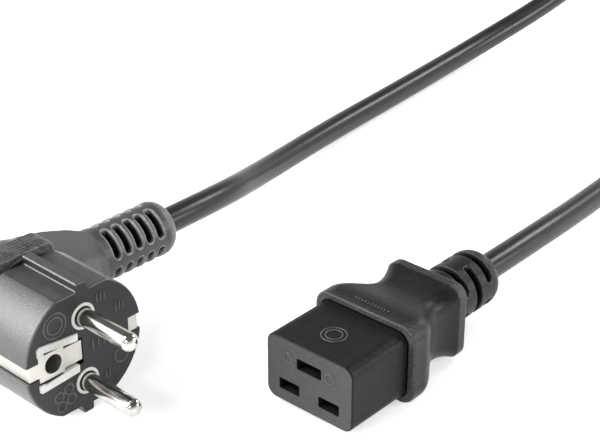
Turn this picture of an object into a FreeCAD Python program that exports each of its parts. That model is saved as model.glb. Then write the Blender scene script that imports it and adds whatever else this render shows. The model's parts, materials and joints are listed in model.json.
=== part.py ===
import FreeCAD, Part
import math
import os
import re
import Sketcher
from FreeCAD import Placement, Rotation, Vector

# A mains lead: a C19 connector with its moulded strain relief, the free cord, and the angled earthed
# plug (CEE 7/7 pattern) on the cord's far end. Millimetres, +Z up.
# The connector lies on z = 0, its mating face towards -Y and its cord leaving towards +Y.
# Its sub-parts are drawn with the mating face in the plane y = 0 and then moved back by half its length.
# The plug's sub-parts are drawn about the middle of the plug's face: +X along the pins, +Y along the
# cord, +Z from pin to pin.

doc = FreeCAD.newDocument("power_lead")
sizes = doc.addObject("Spreadsheet::Sheet", "sizes")

drivingSizes = {
    # connector, mating block
    "faceWidth": 28.3,
    "faceHeight": 19.0,
    "faceCorner": 3.0,
    "faceEdge": 0.5,
    "blockLength": 21.2,
    "seatWidth": 24.0,
    "seatHeight": 15.4,
    "seatLength": 8.0,
    "frontWall": 2.6,
    "slotHeight": 2.9,
    "lineSlotWidth": 6.5,
    "earthSlotWidth": 7.8,
    "slotSpread": 13.0,
    "earthSlotRise": 3.8,
    "lineSlotDrop": 4.3,
    "slotLeadIn": 0.35,
    "chamberHeight": 5.8,
    "chamberMargin": 0.5,
    # connector, moulded body
    "collarWidth": 33.1,
    "collarHeight": 23.0,
    "collarCorner": 4.5,
    "collarLength": 4.3,
    "collarEdge": 0.6,
    "frontSweep": 12.5,
    "rearSweep": 8.0,
    "waistWidth": 21.4,
    "waistHeight": 19.4,
    "waistCorner": 4.6,
    "flangeWidth": 24.6,
    "flangeHeight": 22.0,
    "flangeCorner": 3.6,
    "flangeLength": 3.0,
    "flangeEdge": 0.7,
    "reliefDiameter": 16.4,
    "reliefLength": 23.2,
    "reliefDome": 4.2,
    "reliefSlot": 2.1,
    "reliefPitch": 5.2,
    "reliefFirstSlot": 5.6,
    "reliefSlotAngle": 142.0,
    "slotFloor": 1.0,
    # contacts: folded sheet
    "sheet": 0.6,
    "contactSetback": 2.4,
    "earthLead": 0.6,
    "contactLength": 12.0,
    "lineContactWidth": 6.0,
    "earthContactWidth": 7.2,
    "mouthGap": 2.6,
    "pinchGap": 1.5,
    "rootGap": 4.0,
    "pinchPlace": 2.8,
    "barrelLength": 5.0,
    "barrelDiameter": 3.2,
    # cores and cord
    "conductorDiameter": 1.6,
    "conductorBare": 1.0,
    "coreDiameter": 2.8,
    "coreClearance": 0.06,
    "coreBend": 4.2,
    "cordDiameter": 7.8,
    "sheathGrip": 20.0,
    # plug, face and engagement part
    "plugDiameter": 37.0,
    "plugDepth": 20.8,
    "plugFlat": 16.9,
    "guideFlat": 16.6,
    "guideTop": 19.0,
    "guideLeft": -1.5,
    "guideWidth": 2.8,
    "guideBevel": 0.7,
    "guideFlatEnd": 9.0,
    "notchWidth": 4.8,
    "notchDepth": 4.0,
    # plug, hand part behind it
    "handDiameter": 36.0,
    "handLength": 20.0,
    "handRound": 11.0,
    "gripHeight": 38.0,
    "gripWidth": 20.0,
    "gripCorner": 3.2,
    "gripLength": 7.5,
    "gripSetback": 1.2,
    "cordOffset": 33.6,
    "neckStart": 4.0,
    "neckWidth": 18.0,
    "neckHeight": 25.0,
    "neckCorner": 5.4,
    "neckMiddle": 19.0,
    "neckMiddleWidth": 17.2,
    "neckMiddleHeight": 18.4,
    "neckMiddleCorner": 5.8,
    "plugReliefStart": 30.0,
    "plugReliefLength": 27.0,
    "plugReliefDiameter": 16.0,
    "plugReliefSlot": 2.1,
    "plugReliefPitch": 3.9,
    "plugReliefFirstSlot": 3.0,
    "plugReliefSlotAngle": 56.0,
    "plugReliefSlots": 5,
    # plug, metal and insert
    "pinDiameter": 4.8,
    "pinLength": 19.0,
    "pinDome": 2.0,
    "pinRoot": 17.0,
    "pinRootDiameter": 4.2,
    "pinShoulder": 0.2,
    "pinSpacing": 19.0,
    "pinFlange": 7.6,
    "pinFlangeLength": 2.0,
    "collarDiameter": 7.2,
    "collarProud": 0.15,
    "frameReach": 12.4,
    "frameOuter": 11.3,
    "frameArm": 1.8,
    "frameStart": 2.3,
    "insertDepth": 5.0,
    "insertThick": 3.0,
    "insertDiameter": 30.0,
    "earthSheet": 1.0,
    "earthSink": 0.4,
    "clipWidth": 4.2,
    "clipLength": 18.0,
    "clipInset": 1.1,
    "plateWidth": 7.6,
    "plateStart": 14.4,
    "plateEnd": 6.4,
    "tongueWidth": 5.6,
    "tongueEnd": 0.8,
    "earthHole": 5.2,
    "earthHolePlace": 9.8,
    "earthTubeWall": 0.8,
    "earthTubeLength": 15.0,
    "tabReach": 3.2,
    # where the plug lies
    "plugX": -44.0,
    "plugY": -70.1,
    "plugTurn": -1.5,
    # coil and tie
    "coilX": -61.0,
    "coilY": 336.0,
    "coilRadius": 41.0,
    "coilLane": 4.0,
    "turnGap": 0.2,
    "restGap": 0.1,
    "tieSheet": 1.2,
    "tieWidth": 9.0,
    "tieGap": 0.45,
    "entryStub": 28.0,
    "exitStub": 28.0,
}
for row, (name, number) in enumerate(drivingSizes.items(), 1):
    sizes.set(f"A{row}", name)
    sizes.set(f"B{row}", str(number))
    sizes.setAlias(f"B{row}", name)
doc.recompute()


def named(text):
    """An expression in the sheet's names: every word that is a size gets the sheet in front of it."""
    return re.sub(r"[A-Za-z]+", lambda w: f"sizes.{w[0]}" if w[0] in drivingSizes else w[0], text)


def value(text):
    return float(sizes.evalExpression(named(str(text))))


def bind(thing, prop, text):
    thing.setExpression(prop, named(str(text)))


# the sums that several sub-parts share, as expressions
bodyStart = "blockLength"
sweepStart = "(blockLength + collarLength)"
waistPlace = "(blockLength + collarLength + frontSweep)"
flangeStart = "(blockLength + collarLength + frontSweep + rearSweep)"
reliefStart = "(blockLength + collarLength + frontSweep + rearSweep + flangeLength)"
connectorLength = "(blockLength + collarLength + frontSweep + rearSweep + flangeLength + reliefLength)"
axisHeight = "(collarHeight / 2)"
contactStart = "(frontWall + contactSetback)"
contactRoot = "(frontWall + contactSetback + contactLength)"
barrelEnd = "(frontWall + contactSetback + contactLength + sheet + barrelLength)"
sheathStart = f"({connectorLength} - sheathGrip)"
plugLength = "(plugReliefStart + plugReliefLength)"
plugRest = "max(guideTop; gripHeight / 2)"


def originPlane(body, role):
    return next(f for f in body.Origin.OriginFeatures if f.Role == role)


def newBody(name):
    body = doc.addObject("PartDesign::Body", name)
    body.Label = name
    return body


def sketchOn(body, role, offset=(0, 0, 0), turn=None):
    """A sketch on one of the body's own origin planes, moved by three expressions along its own axes
    and turned by an angle about its horizontal axis."""
    sketch = body.newObject("Sketcher::SketchObject", f"{body.Name}_sketch")
    sketch.AttachmentSupport = [(originPlane(body, role), "")]
    sketch.MapMode = "FlatFace"
    if turn:
        sketch.AttachmentOffset = Placement(Vector(), Rotation(Vector(1, 0, 0), turn))
    for axis, text in zip("xyz", offset):
        bind(sketch, f".AttachmentOffset.Base.{axis}", text)
    return sketch


def measure(sketch, *constraint, text):
    """A driving dimension whose value is an expression."""
    number = value(text)
    index = sketch.addConstraint(Sketcher.Constraint(*constraint, number))
    bind(sketch, f"Constraints[{index}]", text)


def place(sketch, geometry, end, across, up):
    """Ties one point of a sketch to the sketch's origin, by two expressions."""
    for kind, text in (("DistanceX", across), ("DistanceY", up)):
        measure(sketch, kind, -1, 1, geometry, end, text=text)


def circle(sketch, diameter, across="0", up="0"):
    middle = Vector(value(across), value(up), 0)
    index = sketch.addGeometry(Part.Circle(middle, Vector(0, 0, 1), value(diameter) / 2))
    measure(sketch, "Diameter", index, text=diameter)
    place(sketch, index, 3, across, up)
    return sketch


def outline(sketch, corners):
    """A closed outline of straight edges through corners given as pairs of expressions."""
    spots = [Vector(value(x), value(y), 0) for x, y in corners]
    lines = [
        sketch.addGeometry(Part.LineSegment(a, b)) for a, b in zip(spots, spots[1:] + spots[:1])
    ]
    for line, after in zip(lines, lines[1:] + lines[:1]):
        sketch.addConstraint(Sketcher.Constraint("Coincident", line, 2, after, 1))
    for line, (across, up) in zip(lines, corners):
        place(sketch, line, 1, across, up)
    return sketch


def box(sketch, left, right, bottom, top):
    return outline(sketch, [(left, bottom), (right, bottom), (right, top), (left, top)])


def slot(sketch, width, height, across="0", up="0"):
    """A rectangle about a middle point."""
    return box(
        sketch,
        f"{across} - {width} / 2",
        f"{across} + {width} / 2",
        f"{up} - {height} / 2",
        f"{up} + {height} / 2",
    )


def rounded(sketch, width, height, corner, across="0", up="0"):
    """A rectangle with four equal round corners about a middle point."""
    w, h, r = (value(width) / 2, value(height) / 2, value(corner))
    x, y = value(across), value(up)
    sides = [
        ((r - w, -h), (w - r, -h)),
        ((w, r - h), (w, h - r)),
        ((w - r, h), (r - w, h)),
        ((-w, h - r), (-w, r - h)),
    ]
    lines = [
        sketch.addGeometry(Part.LineSegment(Vector(x + a, y + b, 0), Vector(x + c, y + d, 0)))
        for (a, b), (c, d) in sides
    ]
    middles = [(w - r, r - h, 270), (w - r, h - r, 0), (r - w, h - r, 90), (r - w, r - h, 180)]
    arcs = [
        sketch.addGeometry(
            Part.ArcOfCircle(
                Part.Circle(Vector(x + a, y + b, 0), Vector(0, 0, 1), r),
                math.radians(turn),
                math.radians(turn + 90),
            )
        )
        for a, b, turn in middles
    ]
    for line, arc, after in zip(lines, arcs, lines[1:] + lines[:1]):
        sketch.addConstraint(Sketcher.Constraint("Tangent", line, 2, arc, 1))
        sketch.addConstraint(Sketcher.Constraint("Tangent", arc, 2, after, 1))
    for line, kind in zip(lines, ("Horizontal", "Vertical", "Horizontal", "Vertical")):
        sketch.addConstraint(Sketcher.Constraint(kind, line))
    for arc in arcs[1:]:
        sketch.addConstraint(Sketcher.Constraint("Equal", arcs[0], arc))
    measure(sketch, "Radius", arcs[0], text=corner)
    measure(sketch, "DistanceX", -1, 1, lines[1], 1, text=f"{across} + {width} / 2")
    measure(sketch, "DistanceX", -1, 1, lines[3], 1, text=f"{across} - {width} / 2")
    measure(sketch, "DistanceY", -1, 1, lines[0], 1, text=f"{up} - {height} / 2")
    measure(sketch, "DistanceY", -1, 1, lines[2], 1, text=f"{up} + {height} / 2")
    return sketch


def extrude(kind, sketch, length, back=False, both=False):
    """A Pad or Pocket of a sketch: along its normal, against it, or half to each side."""
    body = sketch.getParentGeoFeatureGroup()
    feature = body.newObject(f"PartDesign::{kind}", f"{sketch.Name}_{kind}")
    feature.Profile = sketch
    feature.Type = "Length"
    feature.SideType = "Symmetric" if both else "One side"
    feature.Reversed = back
    bind(feature, "Length", length)
    sketch.Visibility = False
    body.Tip = feature
    return feature


def padBack(sketch, length):
    """A pad towards +Y from a sketch on the XZ plane, whose normal points to -Y."""
    return extrude("Pad", sketch, length, back=True)


def pocketBack(sketch, length):
    return extrude("Pocket", sketch, length, back=False)


def turned(kind, sketch, angle="360", both=False):
    """A Revolution or Groove about the sketch's own horizontal axis."""
    body = sketch.getParentGeoFeatureGroup()
    feature = body.newObject(f"PartDesign::{kind}", f"{sketch.Name}_{kind}")
    feature.Profile = sketch
    feature.ReferenceAxis = (sketch, ["H_Axis"])
    feature.Midplane = both
    bind(feature, "Angle", angle)
    body.Tip = feature
    return feature


def domedRod(sketch, start, end, diameter, dome, chords=3):
    """A round rod along the sketch's horizontal axis whose far end is domed: half its outline, with
    chords for the dome's arc, turned about the axis."""
    toward = 1 if value(end) > value(start) else -1
    corners = [(start, "0"), (start, f"{diameter} / 2")]
    for step in range(chords + 1):
        angle = math.pi / 2 * step / chords
        along = f"{end} - ({toward}) * {dome} * {1 - math.sin(angle):.5f}"
        corners.append((along, f"{diameter} / 2 - {dome} * {1 - math.cos(angle):.5f}"))
    outline(sketch, [*corners, (end, "0")])
    return turned("Revolution", sketch)


def polar(feature, sketch, copies):
    """Equal copies of a feature about its sketch's horizontal axis."""
    body = feature.getParentGeoFeatureGroup()
    pattern = body.newObject("PartDesign::PolarPattern", f"{feature.Name}_round")
    pattern.Originals = [feature]
    pattern.Axis = (sketch, ["H_Axis"])
    pattern.Angle = 360
    pattern.Occurrences = copies
    body.Tip = pattern
    return pattern


def soften(body, size, test, kind="Fillet"):
    """Rounds or bevels the edges of the finished form that a test picks by their middle and their box."""
    doc.recompute()
    before = body.Tip
    names = [f"Edge{n}" for n, edge in enumerate(before.Shape.Edges, 1) if test(edge)]
    feature = body.newObject(f"PartDesign::{kind}", f"{body.Name}_{kind}")
    feature.Base = (before, names)
    bind(feature, "Radius" if kind == "Fillet" else "Size", size)
    body.Tip = feature
    return feature


def flatAt(axis, text):
    """A test: the edge lies wholly in the plane where one coordinate has a value."""
    number = value(text)

    def test(edge):
        low, high = (getattr(edge.BoundBox, axis + end) for end in ("Min", "Max"))
        return abs(low - number) < 1e-4 and abs(high - number) < 1e-4

    return test


def cutAway(name, base, tools):
    """A sub-part with the pieces that it was moulded round cut out of it."""
    if len(tools) > 1:
        union = doc.addObject("Part::MultiFuse", f"{name}_inside")
        union.Shapes = tools
    else:
        union = tools[0]
    cut = doc.addObject("Part::Cut", f"{name}_cut")
    cut.Base = base
    cut.Tool = union
    return cut


nodes = {}


def keep(name, thing):
    thing.Label = name
    nodes[name] = thing
    return thing


def atConnector(thing):
    """Moves a sub-part of the connector so that the connector's middle is over the origin."""
    bind(thing, ".Placement.Base.y", f"-{connectorLength} / 2")
    return thing


def atPlug(thing):
    """Lays a sub-part of the plug where the plug rests on the ground, its pins one above the other."""
    thing.Placement = Placement(Vector(), Rotation(Vector(0, 0, 1), value("plugTurn")))
    bind(thing, ".Placement.Base.x", "plugX")
    bind(thing, ".Placement.Base.y", "plugY")
    bind(thing, ".Placement.Base.z", plugRest)
    bind(thing, ".Placement.Rotation.Angle", "plugTurn")
    return thing


# ---- wires and cord: straight runs joined by tangent arcs ----


def softPath(points):
    """The path through points, each corner an arc that takes 0.45 of the shorter run beside it."""
    shortenBy = 0.45
    edges, radii, here = [], [], points[0]
    for before, corner, after in zip(points, points[1:], points[2:]):
        into, out = corner - before, after - corner
        bite = shortenBy * min(into.Length, out.Length)
        halfTurn = into.getAngle(out) / 2
        radius = bite / math.tan(halfTurn)
        radii.append(radius)
        into.normalize()
        out.normalize()
        first, last = corner - into * bite, corner + out * bite
        inward = out - into
        inward.normalize()
        middle = corner + inward * (radius / math.cos(halfTurn) - radius)
        edges.append(Part.LineSegment(here, first).toShape())
        edges.append(Part.Arc(first, middle, last).toShape())
        here = last
    edges.append(Part.LineSegment(here, points[-1]).toShape())
    return Part.Wire(edges), radii


def tube(points, diameter):
    """A round solid along a soft path, and what its length and tightest bend are."""
    path, radii = softPath(points)
    start = points[1] - points[0]
    section = Part.Face(Part.Wire(Part.Circle(points[0], start, diameter / 2).toShape()))
    solid = path.makePipe(section)
    if solid.ShapeType != "Solid":
        solid = solid.Solids[0]
    expected = path.Length * math.pi * diameter**2 / 4
    if abs(solid.Volume / expected - 1) > 0.01:
        raise ValueError(f"a tube's volume is {solid.Volume:.1f}, and {expected:.1f} was expected")
    return solid, path.Length, radii


def mitredRod(points, diameter):
    """A round solid along straight runs that meet at mitres."""
    section = Part.Wire(Part.Circle(points[0], points[1] - points[0], diameter / 2).toShape())
    path = Part.makePolygon(points)
    rightCorners = 1
    solid = path.makePipeShell([section], True, False, rightCorners)
    expected = path.Length * math.pi * diameter**2 / 4
    if abs(solid.Volume / expected - 1) > 0.01:
        raise ValueError(f"a core's volume is {solid.Volume:.1f}, and {expected:.1f} was expected")
    return solid


def freeShape(name, shape, placement=None):
    """A sub-part with a form of its own, whose placement is set after its shape."""
    thing = doc.addObject("Part::Feature", name)
    thing.Label = name
    thing.Shape = shape
    thing.Placement = placement or Placement()
    return thing


# ---- connector ----

poles = {
    # name: (slot middle across, slot middle up, slot width, contact width, how far it leads)
    "neutral": ("(-slotSpread / 2)", f"({axisHeight} - lineSlotDrop)", "lineSlotWidth", "lineContactWidth", "0"),
    "line": ("(slotSpread / 2)", f"({axisHeight} - lineSlotDrop)", "lineSlotWidth", "lineContactWidth", "0"),
    "earth": ("0", f"({axisHeight} + earthSlotRise)", "earthSlotWidth", "earthContactWidth", "earthLead"),
}


def contactCarrier():
    """The stiff mating block: three blade slots in its front wall, a chamber behind each, and a seat."""
    body = newBody("contact_carrier")
    block = rounded(sketchOn(body, "XZ_Plane"), "faceWidth", "faceHeight", "faceCorner", up=axisHeight)
    padBack(block, "blockLength")
    seat = sketchOn(body, "XZ_Plane", (0, 0, f"-{bodyStart}"))
    slot(seat, "seatWidth", "seatHeight", up=axisHeight)
    padBack(seat, "seatLength")
    soften(body, "faceEdge", flatAt("Y", "0"), "Chamfer")
    for across, up, width, _, _ in poles.values():
        chamber = sketchOn(body, "XZ_Plane", (0, 0, "-frontWall"))
        slot(chamber, f"({width} + 2 * chamberMargin)", "chamberHeight", across, up)
        pocketBack(chamber, f"({bodyStart} + seatLength - frontWall)")
    for across, up, width, _, _ in poles.values():
        opening = sketchOn(body, "XZ_Plane")
        slot(opening, width, "slotHeight", across, up)
        pocketBack(opening, "frontWall")
    inFace = flatAt("Y", "0")
    reach = value("faceWidth") / 2 - value("faceCorner")
    soften(
        body,
        "slotLeadIn",
        lambda e: inFace(e) and abs(e.CenterOfMass.x) < reach and e.Length < reach and isSlotEdge(e),
        "Chamfer",
    )
    return keep("contact_carrier", atConnector(body))


def isSlotEdge(edge):
    """Whether an edge in the mating face belongs to a blade slot."""
    middle = value(axisHeight)
    tall = value("max(lineSlotDrop; earthSlotRise) + slotHeight / 2") + 0.01
    wide = value("slotSpread / 2 + lineSlotWidth / 2") + 0.01
    box = edge.BoundBox
    return abs(box.ZMin - middle) < tall and abs(box.ZMax - middle) < tall and max(
        abs(box.XMin), abs(box.XMax)
    ) < wide


def contactProfile(sketch, lead, up):
    """Side view of a folded contact: two leaves that pinch the blade, joined by a web at the back."""
    tip = f"({contactStart} - {lead})"
    pinch = f"({contactStart} - {lead} + pinchPlace)"
    inner = [(tip, "mouthGap / 2"), (pinch, "pinchGap / 2"), (contactRoot, "rootGap / 2")]
    outer = [
        (f"({contactRoot} + sheet)", "rootGap / 2 + sheet"),
        (pinch, "pinchGap / 2 + sheet"),
        (tip, "mouthGap / 2 + sheet"),
    ]
    above = [(along, f"{up} + ({gap})") for along, gap in inner + outer]
    below = [(along, f"{up} - ({gap})") for along, gap in outer[::-1] + inner[::-1]]
    corners = above[:3] + below[3:] + below[:3] + above[3:]
    return outline(sketch, corners)


def contact(name, across, up, width, lead):
    """A folded sheet contact with its crimp barrel."""
    body = newBody(f"{name}_contact")
    leaves = contactProfile(sketchOn(body, "YZ_Plane", (0, 0, across)), lead, up)
    extrude("Pad", leaves, width, both=True)
    barrel = sketchOn(body, "XZ_Plane", (0, 0, f"-{contactRoot}"))
    circle(barrel, "barrelDiameter", across, up)
    padBack(barrel, "(sheet + barrelLength)")
    bore = sketchOn(body, "XZ_Plane", (0, 0, f"-({contactRoot} + sheet)"))
    circle(bore, "conductorDiameter", across, up)
    pocketBack(bore, "barrelLength")
    return keep(f"{name}_contact", atConnector(body))


def conductorEnd(name, start, across, up, length):
    """The bared end of a core's copper, held in a barrel or a pin, along +Y from its start."""
    body = newBody(name)
    ring = circle(sketchOn(body, "XZ_Plane", (0, 0, f"-{start}")), "conductorDiameter", across, up)
    padBack(ring, length)
    return body


def corePlaces(radius):
    """Three cores laid together about the cord's axis: (across, up) of neutral, line and earth."""
    return {
        "neutral": (-radius * math.cos(math.pi / 6), -radius * math.sin(math.pi / 6)),
        "line": (radius * math.cos(math.pi / 6), -radius * math.sin(math.pi / 6)),
        "earth": (0.0, radius),
    }


def coreRing():
    """How far the middle of each core is from the cord's axis when the three touch."""
    return (value("coreDiameter") + value("coreClearance")) / math.sqrt(3)


def connectorCore(name, across, up):
    """An insulated core from its crimp to where the cord's sheath begins."""
    start = value(barrelEnd) + value("conductorBare")
    end = value(sheathStart)
    x, z = value(across), value(up)
    middle = value(axisHeight)
    dx, dz = corePlaces(coreRing())[name]
    bend = value("coreBend")
    points = [
        Vector(x, start, z),
        Vector(x, value(bodyStart) + value("seatLength") + bend, z),
        Vector(dx, end - bend, middle + dz),
        Vector(dx, end, middle + dz),
    ]
    back = Placement(Vector(0, -value(connectorLength) / 2, 0), Rotation())
    solid = mitredRod(points, value("coreDiameter"))
    return keep(f"{name}_core", freeShape(f"{name}_core", solid, back))


def reliefSlots(body, axis, first, pitch, width, count, outer, angle, directions, turns):
    """Rows of curved slots cut round a strain relief, the sketch's horizontal axis on the relief's."""
    floor = "(cordDiameter / 2 + slotFloor)"
    across, up = axis
    for row in range(count):
        turn = turns[row % len(turns)]
        near = f"({first} + {row} * {pitch})"
        sketch = sketchOn(body, "YZ_Plane", ("0", up, across), turn)
        box(sketch, near, f"({near} + {width})", floor, f"({outer} / 2 + 1)")
        polar(turned("Groove", sketch, angle, both=True), sketch, directions)


def overmould(inside):
    """The soft moulded body: collar, waist, rear flange and the slotted strain relief, in one piece."""
    body = newBody("connector_overmould_form")
    collar = sketchOn(body, "XZ_Plane", (0, 0, f"-{bodyStart}"))
    rounded(collar, "collarWidth", "collarHeight", "collarCorner", up=axisHeight)
    padBack(collar, "collarLength")
    soften(body, "collarEdge", flatAt("Y", bodyStart), "Chamfer")
    sections = []
    # the share of the collar's size left over the waist's, at places along the front sweep
    for share in (0, 0.17, 0.34, 0.5, 0.66, 0.83, 1):
        left = (1 + math.cos(math.pi * share)) / 2
        sections.append((f"({sweepStart} + {share} * frontSweep)", left, "collar"))
    # and the share of the flange's size, growing along the rear sweep
    for share in (0.35, 0.6, 0.8, 1):
        sections.append((f"({waistPlace} + {share} * rearSweep)", share**2.2, "flange"))
    rings = []
    for along, left, bigger in sections:
        ring = sketchOn(body, "XZ_Plane", (0, 0, f"-{along}"))
        width, height, corner = (
            f"(waist{side} + {left:.5f} * ({bigger}{side} - waist{side}))"
            for side in ("Width", "Height", "Corner")
        )
        rings.append(rounded(ring, width, height, corner, up=axisHeight))
    loft = body.newObject("PartDesign::AdditiveLoft", "body_loft")
    loft.Profile = rings[0]
    loft.Sections = rings[1:]
    loft.Ruled = True
    body.Tip = loft
    flange = sketchOn(body, "XZ_Plane", (0, 0, f"-{flangeStart}"))
    rounded(flange, "flangeWidth", "flangeHeight", "flangeCorner", up=axisHeight)
    padBack(flange, "flangeLength")
    soften(body, "flangeEdge", flatAt("Y", reliefStart), "Chamfer")
    stem = sketchOn(body, "YZ_Plane", (0, axisHeight, 0))
    domedRod(stem, reliefStart, connectorLength, "reliefDiameter", "reliefDome")
    first = f"({reliefStart} + reliefFirstSlot)"
    reliefSlots(
        body, ("0", axisHeight), first, "reliefPitch", "reliefSlot", 3, "reliefDiameter",
        "reliefSlotAngle", 2, (0, 90),
    )
    seat = sketchOn(body, "XZ_Plane", (0, 0, f"-{bodyStart}"))
    slot(seat, "seatWidth", "seatHeight", up=axisHeight)
    pocketBack(seat, "seatLength")
    bore = circle(sketchOn(body, "XZ_Plane", (0, 0, f"-{sheathStart}")), "cordDiameter", up=axisHeight)
    pocketBack(bore, "sheathGrip")
    atConnector(body)
    return keep("connector_overmould", cutAway("connector_overmould", body, inside))


def connector():
    contactCarrier()
    cores = []
    for name, (across, up, _, width, lead) in poles.items():
        contact(name, across, up, width, lead)
        start = f"({contactRoot} + sheet)"
        copper = conductorEnd(f"{name}_conductor", start, across, up, "(barrelLength + conductorBare)")
        keep(f"{name}_conductor", atConnector(copper))
        cores.append(connectorCore(name, across, up))
    overmould(cores)


# ---- plug ----


def plugPin(name, up):
    """A solid round pin with a domed tip, a thinner root with a flange that the insert holds, and a
    bore for its core."""
    body = newBody(name)
    shaft = sketchOn(body, "XZ_Plane", (0, up, 0))
    domedRod(shaft, "pinShoulder", "pinLength", "pinDiameter", "pinDome")
    root = circle(sketchOn(body, "YZ_Plane", (0, 0, "-pinRoot")), "pinRootDiameter", "0", up)
    extrude("Pad", root, "(pinRoot + pinShoulder)")
    flange = circle(sketchOn(body, "YZ_Plane", (0, 0, "-(insertDepth + insertThick + pinFlangeLength)")),
                    "pinFlange", "0", up)
    extrude("Pad", flange, "pinFlangeLength")
    bore = circle(sketchOn(body, "YZ_Plane", (0, 0, "-pinRoot")), "conductorDiameter", "0", up)
    extrude("Pocket", bore, "barrelLength", back=True)
    return keep(name, atPlug(body))


def earthClip():
    """One folded strip: a spring along each side of the plug, joined behind, and the socket for an
    earth pin in the plate that turns in over the face."""
    body = newBody("plug_earth_clip")
    side = "(plugDiameter / 2 - clipInset)"
    front = "(-earthSink)"
    rear = "(-clipLength)"
    inner = f"({side} - earthSheet)"
    strip = sketchOn(body, "XY_Plane")
    outline(
        strip,
        [
            (front, f"-{side}"),
            (front, "-tongueEnd"),
            (f"({front} - earthSheet)", "-tongueEnd"),
            (f"({front} - earthSheet)", f"-{inner}"),
            (f"({rear} + earthSheet)", f"-{inner}"),
            (f"({rear} + earthSheet)", inner),
            (f"({front} - earthSheet)", inner),
            (f"({front} - earthSheet)", f"({side} - tabReach)"),
            (front, f"({side} - tabReach)"),
            (front, side),
            (rear, side),
            (rear, f"-{side}"),
        ],
    )
    extrude("Pad", strip, "clipWidth", both=True)
    for width, start, end in (
        ("plateWidth", "plateStart", "plateEnd"),
        ("tongueWidth", "plateEnd", "tongueEnd"),
    ):
        plate = sketchOn(body, "YZ_Plane", (0, 0, front))
        box(plate, f"-{start}", f"-{end}", f"-{width} / 2", f"{width} / 2")
        extrude("Pad", plate, "earthSheet", back=True)
    tubeRing = sketchOn(body, "YZ_Plane", (0, 0, f"({front} - earthSheet)"))
    circle(tubeRing, "(earthHole + 2 * earthTubeWall)", "-earthHolePlace")
    extrude("Pad", tubeRing, "(earthTubeLength - earthSheet)", back=True)
    hole = circle(sketchOn(body, "YZ_Plane", (0, 0, front)), "earthHole", "-earthHolePlace")
    extrude("Pocket", hole, "earthTubeLength")
    return keep("plug_earth_clip", atPlug(body))


def earthSocket(body):
    """Keeps the inside of the clip's tube open."""
    hole = circle(sketchOn(body, "YZ_Plane"), "earthHole", "-earthHolePlace")
    extrude("Pocket", hole, "(earthSink + earthTubeLength)")


def plugInsert(metal):
    """The pale stiff insert: a round plate inside, a collar round each pin and a frame round the
    earth plate, all of which reach the face."""
    body = newBody("plug_insert_form")
    disc = circle(sketchOn(body, "YZ_Plane", (0, 0, "-(insertDepth + insertThick)")), "insertDiameter")
    extrude("Pad", disc, "insertThick")
    for sign in ("", "-"):
        ring = circle(sketchOn(body, "YZ_Plane", (0, 0, "-insertDepth")), "collarDiameter", "0",
                      f"{sign}pinSpacing / 2")
        extrude("Pad", ring, "(insertDepth + collarProud)")
    frame = sketchOn(body, "YZ_Plane", (0, 0, "-insertDepth"))
    far = "(frameStart + frameReach)"
    outline(
        frame,
        [
            (f"-{far}", "-frameOuter / 2"),
            ("-frameStart", "-frameOuter / 2"),
            ("-frameStart", "-(frameOuter / 2 - frameArm)"),
            (f"-({far} - frameArm)", "-(frameOuter / 2 - frameArm)"),
            (f"-({far} - frameArm)", "(frameOuter / 2 - frameArm)"),
            ("-frameStart", "(frameOuter / 2 - frameArm)"),
            ("-frameStart", "frameOuter / 2"),
            (f"-{far}", "frameOuter / 2"),
        ],
    )
    extrude("Pad", frame, "insertDepth")
    earthSocket(body)
    atPlug(body)
    return keep("plug_insert", cutAway("plug_insert", body, metal))


def guide(body, sign):
    """The stepped guide on one side of the face: a flat, a raised tab, and a second flat beyond it.
    The other side has the same, turned half round."""
    reach = "(plugDiameter / 2 + 2)"
    tab = sketchOn(body, "YZ_Plane")
    left, right = "guideLeft", "(guideLeft + guideWidth)"
    inside = "(plugFlat - 3)"
    outline(
        tab,
        [
            (f"{sign} * {left}", f"{sign} * {inside}"),
            (f"{sign} * {left}", f"{sign} * (guideTop - guideBevel)"),
            (f"{sign} * ({left} + guideBevel)", f"{sign} * guideTop"),
            (f"{sign} * {right}", f"{sign} * guideTop"),
            (f"{sign} * ({right} + 1)", f"{sign} * guideFlat"),
            (f"{sign} * ({right} + 1)", f"{sign} * {inside}"),
        ],
    )
    cuts = (
        (f"-{reach}", left, "plugFlat"),
        (f"({right} + 1)", "guideFlatEnd", "guideFlat"),
    )
    for start, end, height in cuts:
        flat = sketchOn(body, "YZ_Plane")
        box(flat, f"{sign} * {start}", f"{sign} * {end}", f"{sign} * {height}", f"{sign} * {reach}")
        extrude("Pocket", flat, "plugDepth")
    extrude("Pad", tab, "plugDepth", back=True)


def neck(body):
    """The hand part runs out towards the cord: from a tall flat-sided section to the relief's round."""
    stations = (
        ("neckStart", "neckWidth", "neckHeight", "neckCorner"),
        ("neckMiddle", "neckMiddleWidth", "neckMiddleHeight", "neckMiddleCorner"),
        ("plugReliefStart", "plugReliefDiameter", "plugReliefDiameter", "(0.49 * plugReliefDiameter)"),
    )
    rings = []
    for along, width, height, corner in stations:
        ring = sketchOn(body, "XZ_Plane", (0, 0, f"-{along}"))
        rings.append(rounded(ring, width, height, corner, "(-cordOffset)", "0"))
    loft = body.newObject("PartDesign::AdditiveLoft", "neck_loft")
    loft.Profile = rings[0]
    loft.Sections = rings[1:]
    loft.Ruled = True
    body.Tip = loft
    stem = sketchOn(body, "YZ_Plane", (0, 0, "(-cordOffset)"))
    domedRod(stem, "plugReliefStart", plugLength, "plugReliefDiameter", "reliefDome")


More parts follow.
